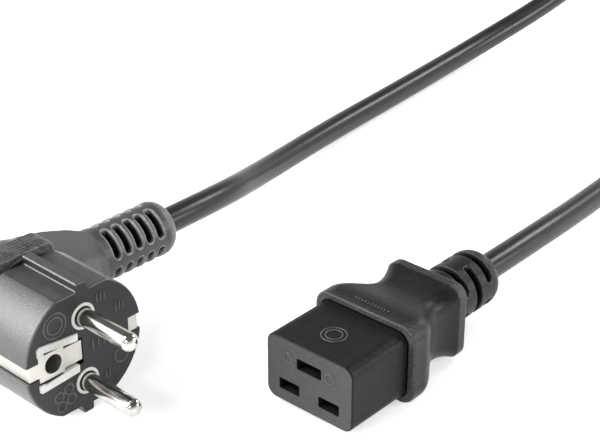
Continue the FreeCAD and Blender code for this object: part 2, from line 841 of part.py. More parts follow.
def plugOvermould(inside):
    """The soft moulded plug body round the insert, the pins' roots, the clip and the cores."""
    body = newBody("plug_overmould_form")
    barrel = circle(sketchOn(body, "YZ_Plane"), "plugDiameter")
    extrude("Pad", barrel, "plugDepth", back=True)
    for sign in ("1", "(-1)"):
        guide(body, sign)
    hand = sketchOn(body, "XZ_Plane")
    domedRod(hand, "(-plugDepth)", "(-(plugDepth + handLength))", "handDiameter", "handRound", 4)
    neck(body)
    first = "(plugReliefStart + plugReliefFirstSlot)"
    reliefSlots(
        body, ("(-cordOffset)", "0"), first, "plugReliefPitch", "plugReliefSlot",
        int(value("plugReliefSlots")), "plugReliefDiameter", "plugReliefSlotAngle", 4, (45,),
    )
    grip(body)
    earthSocket(body)
    for sign in ("", "-"):
        notch = sketchOn(body, "XY_Plane")
        rim = "(plugDiameter / 2 + 1)"
        floor = "(plugDiameter / 2 - notchDepth)"
        box(notch, "(-clipLength)", "1", f"{sign}{floor}", f"{sign}{rim}")
        extrude("Pocket", notch, "notchWidth", both=True)
    bore = circle(sketchOn(body, "XZ_Plane", (0, 0, f"-({plugLength} - sheathGrip)")), "cordDiameter",
                  "(-cordOffset)")
    pocketBack(bore, "sheathGrip")
    atPlug(body)
    return keep("plug_overmould", cutAway("plug_overmould", body, inside))


def grip(body):
    """A raised ridge for the fingers above and below the hand part, with round ends."""
    start = "(plugDepth + gripSetback)"
    for sign in ("", "-"):
        ridge = sketchOn(body, "YZ_Plane", (0, 0, f"-{start}"))
        rounded(ridge, "gripWidth", "(gripHeight / 4)", "gripCorner", up=f"({sign}gripHeight * 3 / 8)")
        extrude("Pad", ridge, "gripLength", back=True)


def plugCore(name, up, begin):
    """An insulated core from behind its pin or clip to where the sheath begins in the neck."""
    end = value(f"({plugLength} - sheathGrip)")
    # the live core keeps to the upper pin's side, and the earth core to the clip's
    place = {"line": "earth", "neutral": "neutral", "earth": "line"}[name]
    across, dz = corePlaces(coreRing())[place]
    side = across - value("cordOffset")
    bend, z = value("coreBend"), value(up)
    points = [
        Vector(begin, 0, z),
        Vector(side + bend, 0, z),
        Vector(side, bend, z),
        Vector(side, end - 2 * bend, dz),
        Vector(side, end, dz),
    ]
    solid = mitredRod(points, value("coreDiameter"))
    thing = freeShape(f"plug_{name}_core", solid)
    return keep(f"plug_{name}_core", atPlug(thing))


def plug():
    pins = {
        "line": plugPin("plug_line_pin", "pinSpacing / 2"),
        "neutral": plugPin("plug_neutral_pin", "-pinSpacing / 2"),
    }
    clip = earthClip()
    insert = plugInsert([*pins.values(), clip])
    metal = [*pins.values(), clip, insert]
    half = value("pinSpacing") / 2
    cores = []
    for name, up, root in (
        ("line", f"{half}", "pinRoot"),
        ("neutral", f"{-half}", "pinRoot"),
        ("earth", "0", "clipLength"),
    ):
        copper = newBody(f"plug_{name}_conductor")
        depth = "barrelLength" if root == "pinRoot" else "0"
        start = f"-({root} + conductorBare)"
        ring = circle(sketchOn(copper, "YZ_Plane", (0, 0, start)), "conductorDiameter", "0", up)
        extrude("Pad", ring, f"(conductorBare + {depth})")
        cores.append(keep(f"plug_{name}_conductor", atPlug(copper)))
        cores.append(plugCore(name, up, -value(f"({root} + conductorBare)")))
    plugOvermould(metal + cores)


# ---- cord ----


def plugPoint(along, across, up):
    """A point given in the plug's own directions, where the plug lies."""
    turn = Rotation(Vector(0, 0, 1), value("plugTurn"))
    base = Vector(value("plugX"), value("plugY"), value(plugRest))
    return base + turn.multVec(Vector(along, across, up))


def laneHeights():
    """Heights of the coil's three layers: the lowest lies on the tie, and each on the one below."""
    pitch = value("cordDiameter") + value("turnGap")
    lowest = value("tieSheet") + value("restGap") + value("cordDiameter") / 2
    return [lowest + layer * pitch for layer in range(3)]


def cordRoutes():
    """The cord's two free stretches. Each begins inside its strain relief and ends at the coil."""
    rise = value(axisHeight)
    end = value(connectorLength) / 2
    low, _, top = laneHeights()
    coilX, coilY = value("coilX"), value("coilY")
    lane, radius = value("coilLane"), value("coilRadius")
    start = Vector(0, end - value("sheathGrip"), rise)
    fromConnector = [
        start,
        Vector(0, end + 19.5, rise),
        Vector(-4.5, 99.9, 7.4),
        Vector(-10.8, 147.9, 4.1),
        Vector(-13.2, 204.0, 4.4),
        Vector(coilX + radius + lane, 256.0, low),
        Vector(coilX + radius + lane, coilY - value("entryStub"), low),
    ]
    offset = -value("cordOffset")
    toPlug = [
        Vector(coilX - radius, coilY - value("exitStub"), top),
        Vector(coilX - radius, 267.0, top),
        Vector(-101.8, 224.0, 13.0),
        Vector(-107.6, 180.0, 4.6),
        Vector(-104.4, 134.0, 4.0),
        Vector(-101.2, 88.0, 4.1),
        Vector(-91.0, 44.0, 8.6),
        plugPoint(offset, value(plugLength) + 19.5, 0),
        plugPoint(offset, value(plugLength) - value("sheathGrip"), 0),
    ]
    return fromConnector, toPlug


def coil():
    """The outer shape of the wound length: a ring two turns wide and two high with the last half turn
    on top, and the short straight stubs on which its two ends leave it."""
    d = value("cordDiameter")
    low, middle, top = laneHeights()
    lane, radius = value("coilLane"), value("coilRadius")
    centre = Vector(value("coilX"), value("coilY"), 0)

    def ring(inner, outer, bottom, height):
        body = Part.makeCylinder(outer, height, centre + Vector(0, 0, bottom))
        return body.cut(Part.makeCylinder(inner, height, centre + Vector(0, 0, bottom)))

    half = lane + d / 2
    bundle = ring(radius - half, radius + half, low - d / 2, middle - low + d)
    last = ring(radius - d / 2, radius + d / 2, middle + d / 2, top - middle)
    entry = Part.makeCylinder(
        d / 2, value("entryStub"), centre + Vector(radius + lane, 0, low), Vector(0, -1, 0)
    )
    leave = Part.makeCylinder(
        d / 2, value("exitStub"), centre + Vector(-radius, 0, top), Vector(0, -1, 0)
    )
    return bundle.fuse([last, entry, leave]).removeSplitter()


def coilTie():
    """A strap closed round the coil on its far side."""
    body = newBody("coil_tie")
    d, strap, gap = "cordDiameter", "tieSheet", "tieGap"
    width = f"(2 * coilLane + {d} + 2 * {gap})"
    height = f"(3 * {d} + 2 * turnGap + restGap + {gap})"
    middle = f"({strap} + {height} / 2)"
    sketch = sketchOn(body, "YZ_Plane", ("(coilY + coilRadius)", "0", "coilX"))
    rounded(sketch, f"({width} + 2 * {strap})", f"({height} + 2 * {strap})", f"({gap} + {strap} + 0.6)",
            up=middle)
    rounded(sketch, width, height, f"({gap} / 2)", up=middle)
    extrude("Pad", sketch, "tieWidth", both=True)
    return keep("coil_tie", body)


def cord():
    fromConnector, toPlug = cordRoutes()
    total = 0.0
    for name, points in (("cord_from_connector", fromConnector), ("cord_to_plug", toPlug)):
        solid, length, radii = tube(points, value("cordDiameter"))
        total += length
        print(name, f"length {length:.1f} mm, radii", " ".join(f"{r:.0f}" for r in radii))
        keep(name, freeShape(name, solid))
    keep("cord_coil", freeShape("cord_coil", coil()))
    coilTie()
    print(f"free stretches {total:.0f} mm")


connector()
plug()
cord()
doc.recompute()

failed = [f"{o.Name}: {o.State}" for o in doc.Objects if {"Invalid", "Error"} & set(o.State)]
for name, thing in nodes.items():
    if thing.Shape.isNull() or not thing.Shape.isValid():
        failed.append(f"{name}: the shape is null or not valid")
if failed:
    raise RuntimeError("; ".join(failed))

os.makedirs("parts", exist_ok=True)
for name, thing in nodes.items():
    thing.Shape.exportStep(f"parts/{name}.step")
    box = thing.Shape.optimalBoundingBox()
    print(f"{name}: {len(thing.Shape.Solids)} solid(s), {thing.Shape.Volume:.1f} mm3, "
          f"x {box.XMin:.2f}..{box.XMax:.2f}, y {box.YMin:.2f}..{box.YMax:.2f}, z {box.ZMin:.2f}..{box.ZMax:.2f}")
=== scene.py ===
import json
import math

import bpy
import numpy as np
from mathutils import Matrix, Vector


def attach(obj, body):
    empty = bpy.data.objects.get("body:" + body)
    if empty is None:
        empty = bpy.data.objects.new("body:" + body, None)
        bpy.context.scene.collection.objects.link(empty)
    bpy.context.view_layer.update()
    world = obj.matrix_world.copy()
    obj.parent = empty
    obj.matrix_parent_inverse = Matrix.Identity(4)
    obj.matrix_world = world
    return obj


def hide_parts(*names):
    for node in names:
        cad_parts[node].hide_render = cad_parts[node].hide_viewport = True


# Looks for a mains lead: connector, cord and angled plug. Rigid shapes are worked out in millimetres in
# each moulding's own directions and set into their meshes in metres; the cord's run is in metres.

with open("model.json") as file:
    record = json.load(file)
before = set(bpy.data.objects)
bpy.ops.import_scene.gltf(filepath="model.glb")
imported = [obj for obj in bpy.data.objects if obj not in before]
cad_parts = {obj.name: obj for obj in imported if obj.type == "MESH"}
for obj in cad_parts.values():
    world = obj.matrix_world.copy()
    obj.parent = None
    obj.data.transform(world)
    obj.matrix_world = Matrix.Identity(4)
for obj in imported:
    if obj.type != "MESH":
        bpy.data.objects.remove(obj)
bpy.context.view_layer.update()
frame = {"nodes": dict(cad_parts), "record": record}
mounts = {mount["name"]: mount for mount in frame["record"]["mounts"]}
mm = 0.001
tiny = 1e-9  # keeps a division from meeting nought
print("frame loaded")


def intoScene(item):
    bpy.context.scene.collection.objects.link(item)


# Camera.

cameraView = {
    "place": (0.21757, -0.28388, 0.23728), "pitchDown": 0.5011, "yawLeft": 0.7272,  # metres and radians
    "lens": 96.0, "sensor": 36.0, "nearest": 0.01,
}


def addCamera():
    data = bpy.data.cameras.new("viewer")
    data.lens = cameraView["lens"]
    data.sensor_width = cameraView["sensor"]
    data.clip_start = cameraView["nearest"]
    camera = bpy.data.objects.new("viewer", data)
    camera.location = cameraView["place"]
    camera.rotation_euler = (math.pi / 2 - cameraView["pitchDown"], 0, cameraView["yawLeft"])
    intoScene(camera)
    bpy.context.scene.camera = camera


addCamera()
print("camera set")


# Meshes from grids.

def shapeFrom(name, points, loops, counts):
    # one mesh from arrays: points in millimetres, the faces' corners in a row, and each face's corner count
    mesh = bpy.data.meshes.new(name)
    mesh.vertices.add(len(points))
    mesh.vertices.foreach_set("co", (np.asarray(points) * mm).ravel())
    mesh.loops.add(len(loops))
    mesh.loops.foreach_set("vertex_index", np.asarray(loops, np.int32))
    mesh.polygons.add(len(counts))
    starts = np.concatenate([[0], np.cumsum(counts)[:-1]])
    mesh.polygons.foreach_set("loop_start", starts.astype(np.int32))
    mesh.update(calc_edges=True)
    mesh.validate()
    piece = bpy.data.objects.new(name, mesh)
    intoScene(piece)
    return piece


def ringSurface(name, *skins):
    # closed skins in one mesh: in each, every ring of points is joined to the next by a band of quads,
    # the first and last ring are filled with one flat face each, and an inside-out mesh is turned
    loops, counts, start = [], [], 0
    for rings in skins:
        rows, columns, _ = rings.shape
        index = start + np.arange(rows * columns).reshape(rows, columns)
        near, far = index[:-1], index[1:]
        quads = np.stack([near, np.roll(near, -1, 1), np.roll(far, -1, 1), far], -1)
        loops += [quads.ravel(), index[0][::-1], index[-1]]
        counts += [np.full(quads.size // 4, 4), [columns, columns]]
        start += rows * columns
    points = np.concatenate([rings.reshape(-1, 3) for rings in skins])
    piece = shapeFrom(name, points, np.concatenate(loops), np.concatenate(counts))
    turnOutwards(piece.data)
    return piece


def turnOutwards(mesh):
    # signed volume: a sixth of the sum, over all triangles, of a . (b x c)
    mesh.calc_loop_triangles()
    corners = np.empty(len(mesh.loop_triangles) * 3, np.int32)
    mesh.loop_triangles.foreach_get("vertices", corners)
    points = np.empty(len(mesh.vertices) * 3)
    mesh.vertices.foreach_get("co", points)
    a, b, c = points.reshape(-1, 3)[corners.reshape(-1, 3)].transpose(1, 0, 2)
    if np.einsum("ij,ij->", a, np.cross(b, c)) < 0:
        mesh.flip_normals()


def fullTurn(count):
    # directions spread evenly round a circle
    return np.arange(count) / count * 2 * math.pi


def quarterRound(radius, points):
    # a quarter circle's points, each as two steps: one grows from nought to the radius, one shrinks to nought
    turn = np.linspace(0, math.pi / 2, points)
    return np.stack([radius * (1 - np.cos(turn)), radius * (1 - np.sin(turn))], -1)


def edgeDistance(angle, halfWidth, halfHeight, corner):
    # from the middle to the edge of a round-cornered rectangle, in the direction of an angle: up to the
    # nearer straight side, or to the corner's circle where that is met first
    across, up = np.abs(np.cos(angle)) + tiny, np.abs(np.sin(angle)) + tiny
    reach = np.minimum(halfWidth / across, halfHeight / up)
    cornerX, cornerY = halfWidth - corner, halfHeight - corner
    inCorner = (reach * across > cornerX) & (reach * up > cornerY)
    along = cornerX * across + cornerY * up
    toCircle = along + np.sqrt(np.maximum(along**2 - cornerX**2 - cornerY**2 + corner**2, 0))
    return np.where(inCorner, toCircle, reach)


def cornerRings(halfWidth, halfHeight, corner, arcPoints=48, sidePoints=10):
    # round-cornered rectangles whose points keep their places from one to the next: an even quarter-arc
    # at each corner and a few points along each side
    turn = np.arange(4)[:, None] * math.pi / 2 + np.linspace(0, math.pi / 2, arcPoints)
    middles = np.stack([(halfWidth - corner) * (1, -1, -1, 1), (halfHeight - corner) * (1, 1, -1, -1)], -1)
    arcs = middles[:, :, None] + corner[..., None, None] * np.stack([np.cos(turn), np.sin(turn)], -1)
    share = (np.arange(sidePoints) + 1)[:, None] / (sidePoints + 1)
    nextStart = np.roll(arcs[:, :, :1], -1, 1)
    sides = arcs[:, :, -1:] * (1 - share) + nextStart * share
    return np.concatenate([arcs, sides], 2).reshape(len(halfWidth), -1, 2)


def smoothStep(share):
    share = np.clip(share, 0, 1)
    return share * share * (3 - 2 * share)


def slotSink(angle, along, radius, slots, floor, rim, wall):
    # how far a round relief sinks below its radius: distance to the nearest slot, a bar with round ends,
    # gives a quarter-round rim outside the slot and a steep wall down to the floor inside it
    nearest = np.full(np.broadcast(angle, along).shape, np.inf)
    for centreAngle, centreAlong, halfLength, halfWidth in slots:
        sweep = (angle - centreAngle + math.pi) % (2 * math.pi) - math.pi
        beyond = np.maximum(np.abs(sweep) * radius - (halfLength - halfWidth), 0)
        nearest = np.minimum(nearest, np.hypot(beyond, along - centreAlong) - halfWidth)
    inRim = np.clip(rim - nearest, 0, rim)
    rounding = rim - np.sqrt(rim**2 - inRim**2)
    return rounding + (radius - floor - rim) * smoothStep(-nearest / wall)


def markSlots(piece, relief, radius):
    # how deep each point lies in the relief's slots, from 0 at its surface to 1 at their floor: the finish paints
    # shade into the slots with it, darker the deeper. The relief's rings are the mesh's last, and its dome has no
    # slots
    depth = (relief["radius"] - radius) / (relief["radius"] - relief["floor"])
    depth[-relief["domeRows"]:] = 0
    values = np.zeros(len(piece.data.vertices))
    values[-depth.size:] = depth.ravel()
    piece.data.attributes.new("slotDepth", "FLOAT", "POINT").data.foreach_set("value", values)


def linesNear(start, end, step, edges, rim, wall):
    # places along an axis: an even spread, with lines set close together at both sides of each slot edge
    places = list(np.arange(start, end, step))
    for edge, outwards in edges:
        places = [p for p in places if abs(p - edge) > rim * 1.2]
        offsets = (-2 * wall, -wall, -wall / 2, 0, rim / 8, rim / 3, rim * 0.65, rim)
        places += [edge + outwards * offset for offset in offsets]
    return np.array(sorted(p for p in places if start <= p < end))


def acrossPins(stations):
    # rings of points across the plug's pins, each set at its place along them
    return np.array([np.column_stack([np.full(len(ring), along), ring]) for along, ring in stations])


def boxRings(angle, places, half, middle):
    # the same round-cornered rectangle across the pins at each place along them
    reach = edgeDistance(angle, *half)
    ring = np.column_stack([reach * np.cos(angle) + middle[0], reach * np.sin(angle) + middle[1]])
    return acrossPins([(along, ring) for along in places])


markShape = {"ringAround": 48, "beadRows": 7, "sunk": 0.4,
             "barAround": 24, "barEnds": 0.99, "barShoulder": 0.5, "barTaper": 0.25}


def ringMark(middle, radius, width, height, base):
    # a low round bead bent to a ring: its section is a half circle that stands on the face
    turn = fullTurn(markShape["ringAround"])
    bead = np.linspace(math.pi, 0, markShape["beadRows"])[:, None]
    reach = radius + width * np.cos(bead)
    along = base + height * np.sin(bead)
    along[[0, -1]] -= markShape["sunk"]
    return np.stack([np.broadcast_to(along, (len(bead), len(turn))), middle[0] + reach * np.cos(turn),
                     middle[1] + reach * np.sin(turn)], -1)


def barMark(middle, half, height, base):
    # a low round-ended bar, its top drawn in a little
    half = np.array([*half, min(half) * markShape["barEnds"]])
    places = (base - markShape["sunk"], base + height * markShape["barShoulder"], base + height)
    rings = boxRings(fullTurn(markShape["barAround"]), places, half, middle)
    rings[-1, :, 1:] += (np.array(middle) - rings[-1, :, 1:]) * markShape["barTaper"]
    return rings


def finishPiece(piece, node, finish, angle=35, bevel=0, edge=None):
    # shading, finish and place in the frame, the same for every rigid piece: an edge is sharp from the angle in
    # degrees on, the bevel rounds it by millimetres, and edge is the finish of what it rounds, a paler one that paints
    # a highlight on the rounded edges
    if not piece.data.materials:
        piece.data.materials.append(finishes[finish])
    piece.data.shade_smooth()
    piece.data.set_sharp_from_angle(angle=math.radians(angle))
    if bevel:
        softEdge = piece.modifiers.new("softEdge", "BEVEL")
        softEdge.width = bevel * mm
        softEdge.segments = 2
        softEdge.limit_method = "ANGLE"
        softEdge.angle_limit = math.radians(angle)
        softEdge.harden_normals = True
        if edge:
            piece.data.materials.append(finishes[edge])
            softEdge.material = len(piece.data.materials) - 1
    evenFaces = piece.modifiers.new("evenFaces", "WEIGHTED_NORMAL")
    evenFaces.keep_sharp = True
    evenFaces.weight = 90
    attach(piece, "root")
    if node:
        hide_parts(node)
    return piece


def workIn(piece):
    # the piece's modifiers become part of its mesh
    depsgraph = bpy.context.evaluated_depsgraph_get()
    worked = bpy.data.meshes.new_from_object(piece.evaluated_get(depsgraph))
    piece.modifiers.clear()
    before, piece.data = piece.data, worked
    bpy.data.meshes.remove(before)
    worked.name = piece.name


def cutOut(piece, cutters, finish):
    # takes the cutters' shapes out of the piece, paints the cut walls near-black as shade, removes the cutters
    piece.data.materials.append(finishes[finish])
    for cutter in cutters:
        # the cut walls take the near-black plastic: painted shade
        cutter.data.materials.append(finishes["paintedShadePlastic"])
        carve = piece.modifiers.new("carve", "BOOLEAN")
        carve.material_mode = "TRANSFER"
        carve.object = cutter
        carve.operation = "DIFFERENCE"
        carve.solver = "EXACT"
    workIn(piece)
    for cutter in cutters:
        bpy.data.objects.remove(cutter)


def finishFaces(piece, picked, finish):
    # the faces picked by their normals and middles get a finish of their own: a lighter or darker copy of the piece's
    # plastic, painted light or shade for the way they face
    mesh = piece.data
    mesh.materials.append(finishes[finish])
    count = len(mesh.polygons)
    normals, middles, chosen = np.empty(count * 3), np.empty(count * 3), np.empty(count, np.int32)
    mesh.polygons.foreach_get("normal", normals)
    mesh.polygons.foreach_get("center", middles)
    mesh.polygons.foreach_get("material_index", chosen)
    wanted = picked(normals.reshape(-1, 3), middles.reshape(-1, 3) / mm) & (chosen == 0)
    chosen[wanted] = len(mesh.materials) - 1
    mesh.polygons.foreach_set("material_index", chosen)


# Shader groups.

def feed(group, socket, item):
    # a socket takes another node's output or a plain number
    if isinstance(item, (int, float)):
        socket.default_value = item
    else:
        group.links.new(item, socket)


def noiseAt(group, place, scale, detail=3.0, roughness=0.6):
    node = group.nodes.new("ShaderNodeTexNoise")
    for label, item in (("Vector", place), ("Scale", scale), ("Detail", detail), ("Roughness", roughness)):
        feed(group, node.inputs[label], item)
    return node.outputs["Fac"]


def mathNode(group, operation, *values, clamp=False):
    node = group.nodes.new("ShaderNodeMath")
    node.operation = operation
    node.use_clamp = clamp
    for socket, value in zip(node.inputs, values):
        feed(group, socket, value)
    return node.outputs[0]


def rangeNode(group, value, low, high, outLow, outHigh):
    node = group.nodes.new("ShaderNodeMapRange")
    for label, item in (("Value", value), ("From Min", low), ("From Max", high),
                        ("To Min", outLow), ("To Max", outHigh)):
        feed(group, node.inputs[label], item)
    return node.outputs["Result"]


def scaleColour(group, colour, factor):
    node = group.nodes.new("ShaderNodeVectorMath")
    node.operation = "SCALE"
    feed(group, node.inputs[0], colour)
    feed(group, node.inputs["Scale"], factor)
    return node.outputs[0]


def spread(group, noise, amount):
    # noise about its middle, times an amount
    return mathNode(group, "MULTIPLY", mathNode(group, "SUBTRACT", noise, 0.5), amount)


def mixColours(group, share, first, second):
    node = group.nodes.new("ShaderNodeMix")
    node.data_type = "RGBA"
    feed(group, node.inputs["Factor"], share)
    for label, item in (("A", first), ("B", second)):
        feed(group, next(s for s in node.inputs if s.name == label and s.type == "RGBA"), item)
    return next(s for s in node.outputs if s.type == "RGBA")


def bumpNode(group, height, distance):
    node = group.nodes.new("ShaderNodeBump")
    feed(group, node.inputs["Height"], height)
    feed(group, node.inputs["Distance"], distance)
    return node.outputs["Normal"]


grainEffect = {
    "rimHighlightFrom": 0.507, "rimHighlightTo": 0.535,  # the pointiness of an edge where the painted rim highlight starts, and where it is full
    "slotFrom": 0.15, "slotTo": 0.5, "slotDark": 0.06,  # the share of a slot's depth where the painted shade starts and where it is full, and how dark it gets there
    "patchFrom": 0.35, "patchTo": 0.65, "patchLeast": 0.4,  # the grain's values that make the painted rim highlight patchy
    "depth": 0.00006,  # metres, at a grain height of 1
}


plasticColumns = ("Colour", "Mottle", "Mottle Scale", "Grain Scale", "Grain Height", "Roughness",
                  "Roughness Spread", "Rim Highlight", "Rim Highlight Colour")
metalColumns = ("Colour", "Roughness", "Roughness Spread", "Tarnish Share", "Tarnish")


def effectGroup(name, columns):
    # a group that takes the columns' colours and numbers, and puts out a colour, a roughness and a normal
    group = bpy.data.node_groups.new(name, "ShaderNodeTree")
    sockets = [("INPUT", label, "Color" if label in ("Colour", "Rim Highlight Colour", "Tarnish") else "Float")
               for label in columns]
    sockets += [("OUTPUT", "Colour", "Color"), ("OUTPUT", "Roughness", "Float"), ("OUTPUT", "Normal", "Vector")]
    for side, label, kind in sockets:
        group.interface.new_socket(label, in_out=side, socket_type=f"NodeSocket{kind}")
    given, out = group.nodes.new("NodeGroupInput"), group.nodes.new("NodeGroupOutput")
    return group, given.outputs, out.inputs, group.nodes.new("ShaderNodeTexCoord").outputs["Object"]


def buildMouldedGrain():
    # moulded plastic: a fine spark-eroded grain, broad cloudy mottle, a painted highlight on convex rims, and painted
    # shade in slots that deepens with their depth where the piece has that attribute
    group, given, out, place = effectGroup("mouldedGrain", plasticColumns)
    grain = noiseAt(group, place, given["Grain Scale"], detail=2.0)
    mottle = noiseAt(group, place, given["Mottle Scale"], detail=5.0)
    uneven = mathNode(group, "ADD", spread(group, mottle, given["Mottle"]), spread(group, grain, given["Mottle"]))
    toned = scaleColour(group, given["Colour"], mathNode(group, "ADD", uneven, 1.0))
    # painted highlight: convex rims, found by their pointiness, are mixed towards a paler colour, patchy with the
    # grain
    pointed = group.nodes.new("ShaderNodeNewGeometry").outputs["Pointiness"]
    rim = rangeNode(group, pointed, grainEffect["rimHighlightFrom"], grainEffect["rimHighlightTo"], 0.0, 1.0)
    rimHighlight = mathNode(group, "MULTIPLY", mathNode(group, "MULTIPLY", rim, given["Rim Highlight"]),
                      rangeNode(group, grain, grainEffect["patchFrom"], grainEffect["patchTo"],
                                grainEffect["patchLeast"], 1.0), clamp=True)
    # painted shade: the colour darkens with the depth of the slots
    slotDepth = group.nodes.new("ShaderNodeAttribute")
    slotDepth.attribute_name = "slotDepth"
    light = rangeNode(group, slotDepth.outputs["Fac"], grainEffect["slotFrom"], grainEffect["slotTo"], 1.0,
                      grainEffect["slotDark"])
    feed(group, out["Colour"], scaleColour(group, mixColours(group, rimHighlight, toned, given["Rim Highlight Colour"]), light))
    feed(group, out["Roughness"], mathNode(group, "ADD", given["Roughness"],
                                           spread(group, mottle, given["Roughness Spread"])))
    depth = mathNode(group, "MULTIPLY", given["Grain Height"], grainEffect["depth"])
    feed(group, out["Normal"], bumpNode(group, grain, depth))
    return group


metalEffect = {
    "lineScale": 2600.0, "lineDepth": 0.000003, "stretch": (0.03, 1.0, 1.0),  # draws the noise out to lines
    "cloudScale": 180.0, "cloudFrom": 0.45, "cloudTo": 0.75,
}


def buildDrawnMetal():
    # plated sheet and pins: fine polishing lines along one axis, and a faint warm tarnish in clouds
    group, given, out, place = effectGroup("drawnMetal", metalColumns)
    drawn = group.nodes.new("ShaderNodeMapping")
    drawn.inputs["Scale"].default_value = metalEffect["stretch"]
    feed(group, drawn.inputs["Vector"], place)
    lines = noiseAt(group, drawn.outputs["Vector"], metalEffect["lineScale"], detail=2.0)
    clouds = noiseAt(group, place, metalEffect["cloudScale"], detail=4.0)
    share = mathNode(group, "MULTIPLY",
                     rangeNode(group, clouds, metalEffect["cloudFrom"], metalEffect["cloudTo"], 0.0, 1.0),
                     given["Tarnish Share"], clamp=True)
    feed(group, out["Colour"], mixColours(group, share, given["Colour"], given["Tarnish"]))
    feed(group, out["Roughness"], mathNode(group, "ADD", given["Roughness"],
                                           spread(group, clouds, given["Roughness Spread"])))
    feed(group, out["Normal"], bumpNode(group, lines, metalEffect["lineDepth"]))
    return group


def plainMaterial(name, specular):
    # a material of one Principled shader, with its node tree and that shader's inputs
    material = bpy.data.materials.new(name)
    material.use_nodes = True
    inputs = material.node_tree.nodes["Principled BSDF"].inputs
    inputs["Specular IOR Level"].default_value = specular
    return material, material.node_tree, inputs


def dressed(name, group, values, metallic, specular):
    # a material whose colour, roughness and normal come from a group
    material, tree, inputs = plainMaterial(name, specular)
    inputs["Metallic"].default_value = metallic
    effect = tree.nodes.new("ShaderNodeGroup")
    effect.node_tree = group
    for label, value in values:
        effect.inputs[label].default_value = (*value, 1) if isinstance(value, tuple) else value
    for output, target in (("Colour", "Base Color"), ("Roughness", "Roughness"), ("Normal", "Normal")):
        tree.links.new(effect.outputs[output], inputs[target])
    return material


# each finish: its specular level and then its values in the order of the columns. A plastic whose row ends early has
# no painted rim highlight
plastics = {
    "connectorPvc": (0.22, (0.015, 0.0145, 0.014), 1.3, 230.0, 1750.0, 2.0, 0.37, 0.3, 0.85, (0.13, 0.127, 0.124)),
    "blockPlastic": (0.15, (0.0145, 0.0141, 0.0137), 1.0, 300.0, 1800.0, 2.0, 0.42, 0.12),
    # the mating face's plastic, lighter than the block's: painted light on the faces that look forward
    "blockFacePaintedLight": (0.4, (0.05, 0.0485, 0.047), 0.6, 300.0, 1700.0, 0.7, 0.45, 0.12),
    # near-black plastic for the cut walls of slots, holes and gaps: painted shade
    "paintedShadePlastic": (0.2, (0.004, 0.004, 0.004), 0.4, 260.0, 2000.0, 0.3, 0.6, 0.1, 0.2, (0.02, 0.02, 0.02)),
    "plugPvc": (0.5, (0.062, 0.066, 0.066), 0.7, 200.0, 2100.0, 1.5, 0.4, 0.15, 1.5, (0.34, 0.35, 0.35)),
    "satinPvc": (1.0, (0.05, 0.053, 0.053), 1.0, 260.0, 2800.0, 1.7, 0.36, 0.1),
    # the barrel's plastic made darker for its face and the tab's side walls: painted shade
    "facePaintedShadePvc": (0.4, (0.02, 0.02, 0.0195), 0.7, 240.0, 1900.0, 1.3, 0.5, 0.15),
    # marks paler than the plastic they stand on: a painted highlight on the raised beads
    "markHighlightPvc": (0.5, (0.072, 0.073, 0.073), 0.9, 300.0, 1900.0, 0.6, 0.35, 0.1),
    # pale plastic on the barrel's rounded edges: painted highlight
    "edgeHighlightPvc": (0.5, (0.28, 0.285, 0.285), 1.2, 300.0, 1600.0, 0.6, 0.35, 0.1),
    "gripPvc": (0.5, (0.07, 0.073, 0.073), 2.6, 260.0, 1050.0, 2.6, 0.4, 0.2, 0.4, (0.3, 0.31, 0.31)),
    "cordPvc": (0.36, (0.018, 0.021, 0.02), 0.6, 160.0, 1800.0, 0.5, 0.3, 0.1),
    "palePlastic": (0.5, (0.72, 0.72, 0.69), 0.15, 260.0, 1800.0, 0.25, 0.4, 0.08, 0.4, (0.8, 0.8, 0.77)),
    "brownPvc": (0.5, (0.1, 0.035, 0.012), 0.3, 260.0, 4200.0, 0.3, 0.38, 0.1, 0.2, (0.2, 0.09, 0.04)),
    "bluePvc": (0.5, (0.01, 0.07, 0.35), 0.3, 260.0, 4200.0, 0.3, 0.38, 0.1, 0.2, (0.1, 0.2, 0.5)),
    "greenPvc": (0.5, (0.05, 0.28, 0.03), 0.3, 260.0, 4200.0, 0.3, 0.38, 0.1, 0.2, (0.5, 0.5, 0.05)),
    "strap": (0.5, (0.018, 0.018, 0.018), 0.8, 260.0, 1500.0, 0.9, 0.8, 0.1, 0.3, (0.06, 0.06, 0.06)),
}
metals = {
    "nickel": (0.5, (0.62, 0.61, 0.58), 0.16, 0.14, 0.6, (0.26, 0.235, 0.18)),
    "clipNickel": (0.5, (0.64, 0.63, 0.595), 0.4, 0.1, 0.5, (0.5, 0.47, 0.4)),
    "contactBrass": (0.5, (0.72, 0.6, 0.36), 0.28, 0.12, 0.4, (0.4, 0.28, 0.13)),
    "copper": (0.5, (0.8, 0.42, 0.27), 0.3, 0.12, 0.35, (0.4, 0.17, 0.08)),
}
finishes = {}
for table, columns, group, metallic in ((plastics, plasticColumns, buildMouldedGrain(), 0.0),
                                        (metals, metalColumns, buildDrawnMetal(), 1.0)):
    for finishName, (specular, *values) in table.items():
        finishes[finishName] = dressed(finishName, group, zip(columns, values), metallic, specular)
print("finishes made")


# Connector.

connectorOrigin = np.array(mounts["mating_face"]["pos_m"]) / mm

connectorSkin = {
    # all along the connector, from its mating face
    "collarStart": 21.2, "collarLength": 4.3, "frontSweep": 12.5, "rearSweep": 8.0, "flangeLength": 3.0,
    # half width, half height and corner of each cross-section
    "block": (14.15, 9.5, 3.0), "collar": (16.55, 11.5, 4.5), "waist": (10.7, 9.7, 4.6),
    "flange": (12.3, 11.0, 3.6),
    "collarRim": 0.8, "flangeRim": 0.8, "rearPower": 2.2, "around": 320, "rimRows": 6, "sweepRows": 18,
    # the seam beside the block: its width and depth, how far it goes in under the block, and its bevel
    # along and across
    "seamGap": 0.35, "seamDepth": 1.0, "seamInside": (1.0, 1.0, 0.5), "seamBevel": (0.12, 0.15),
}
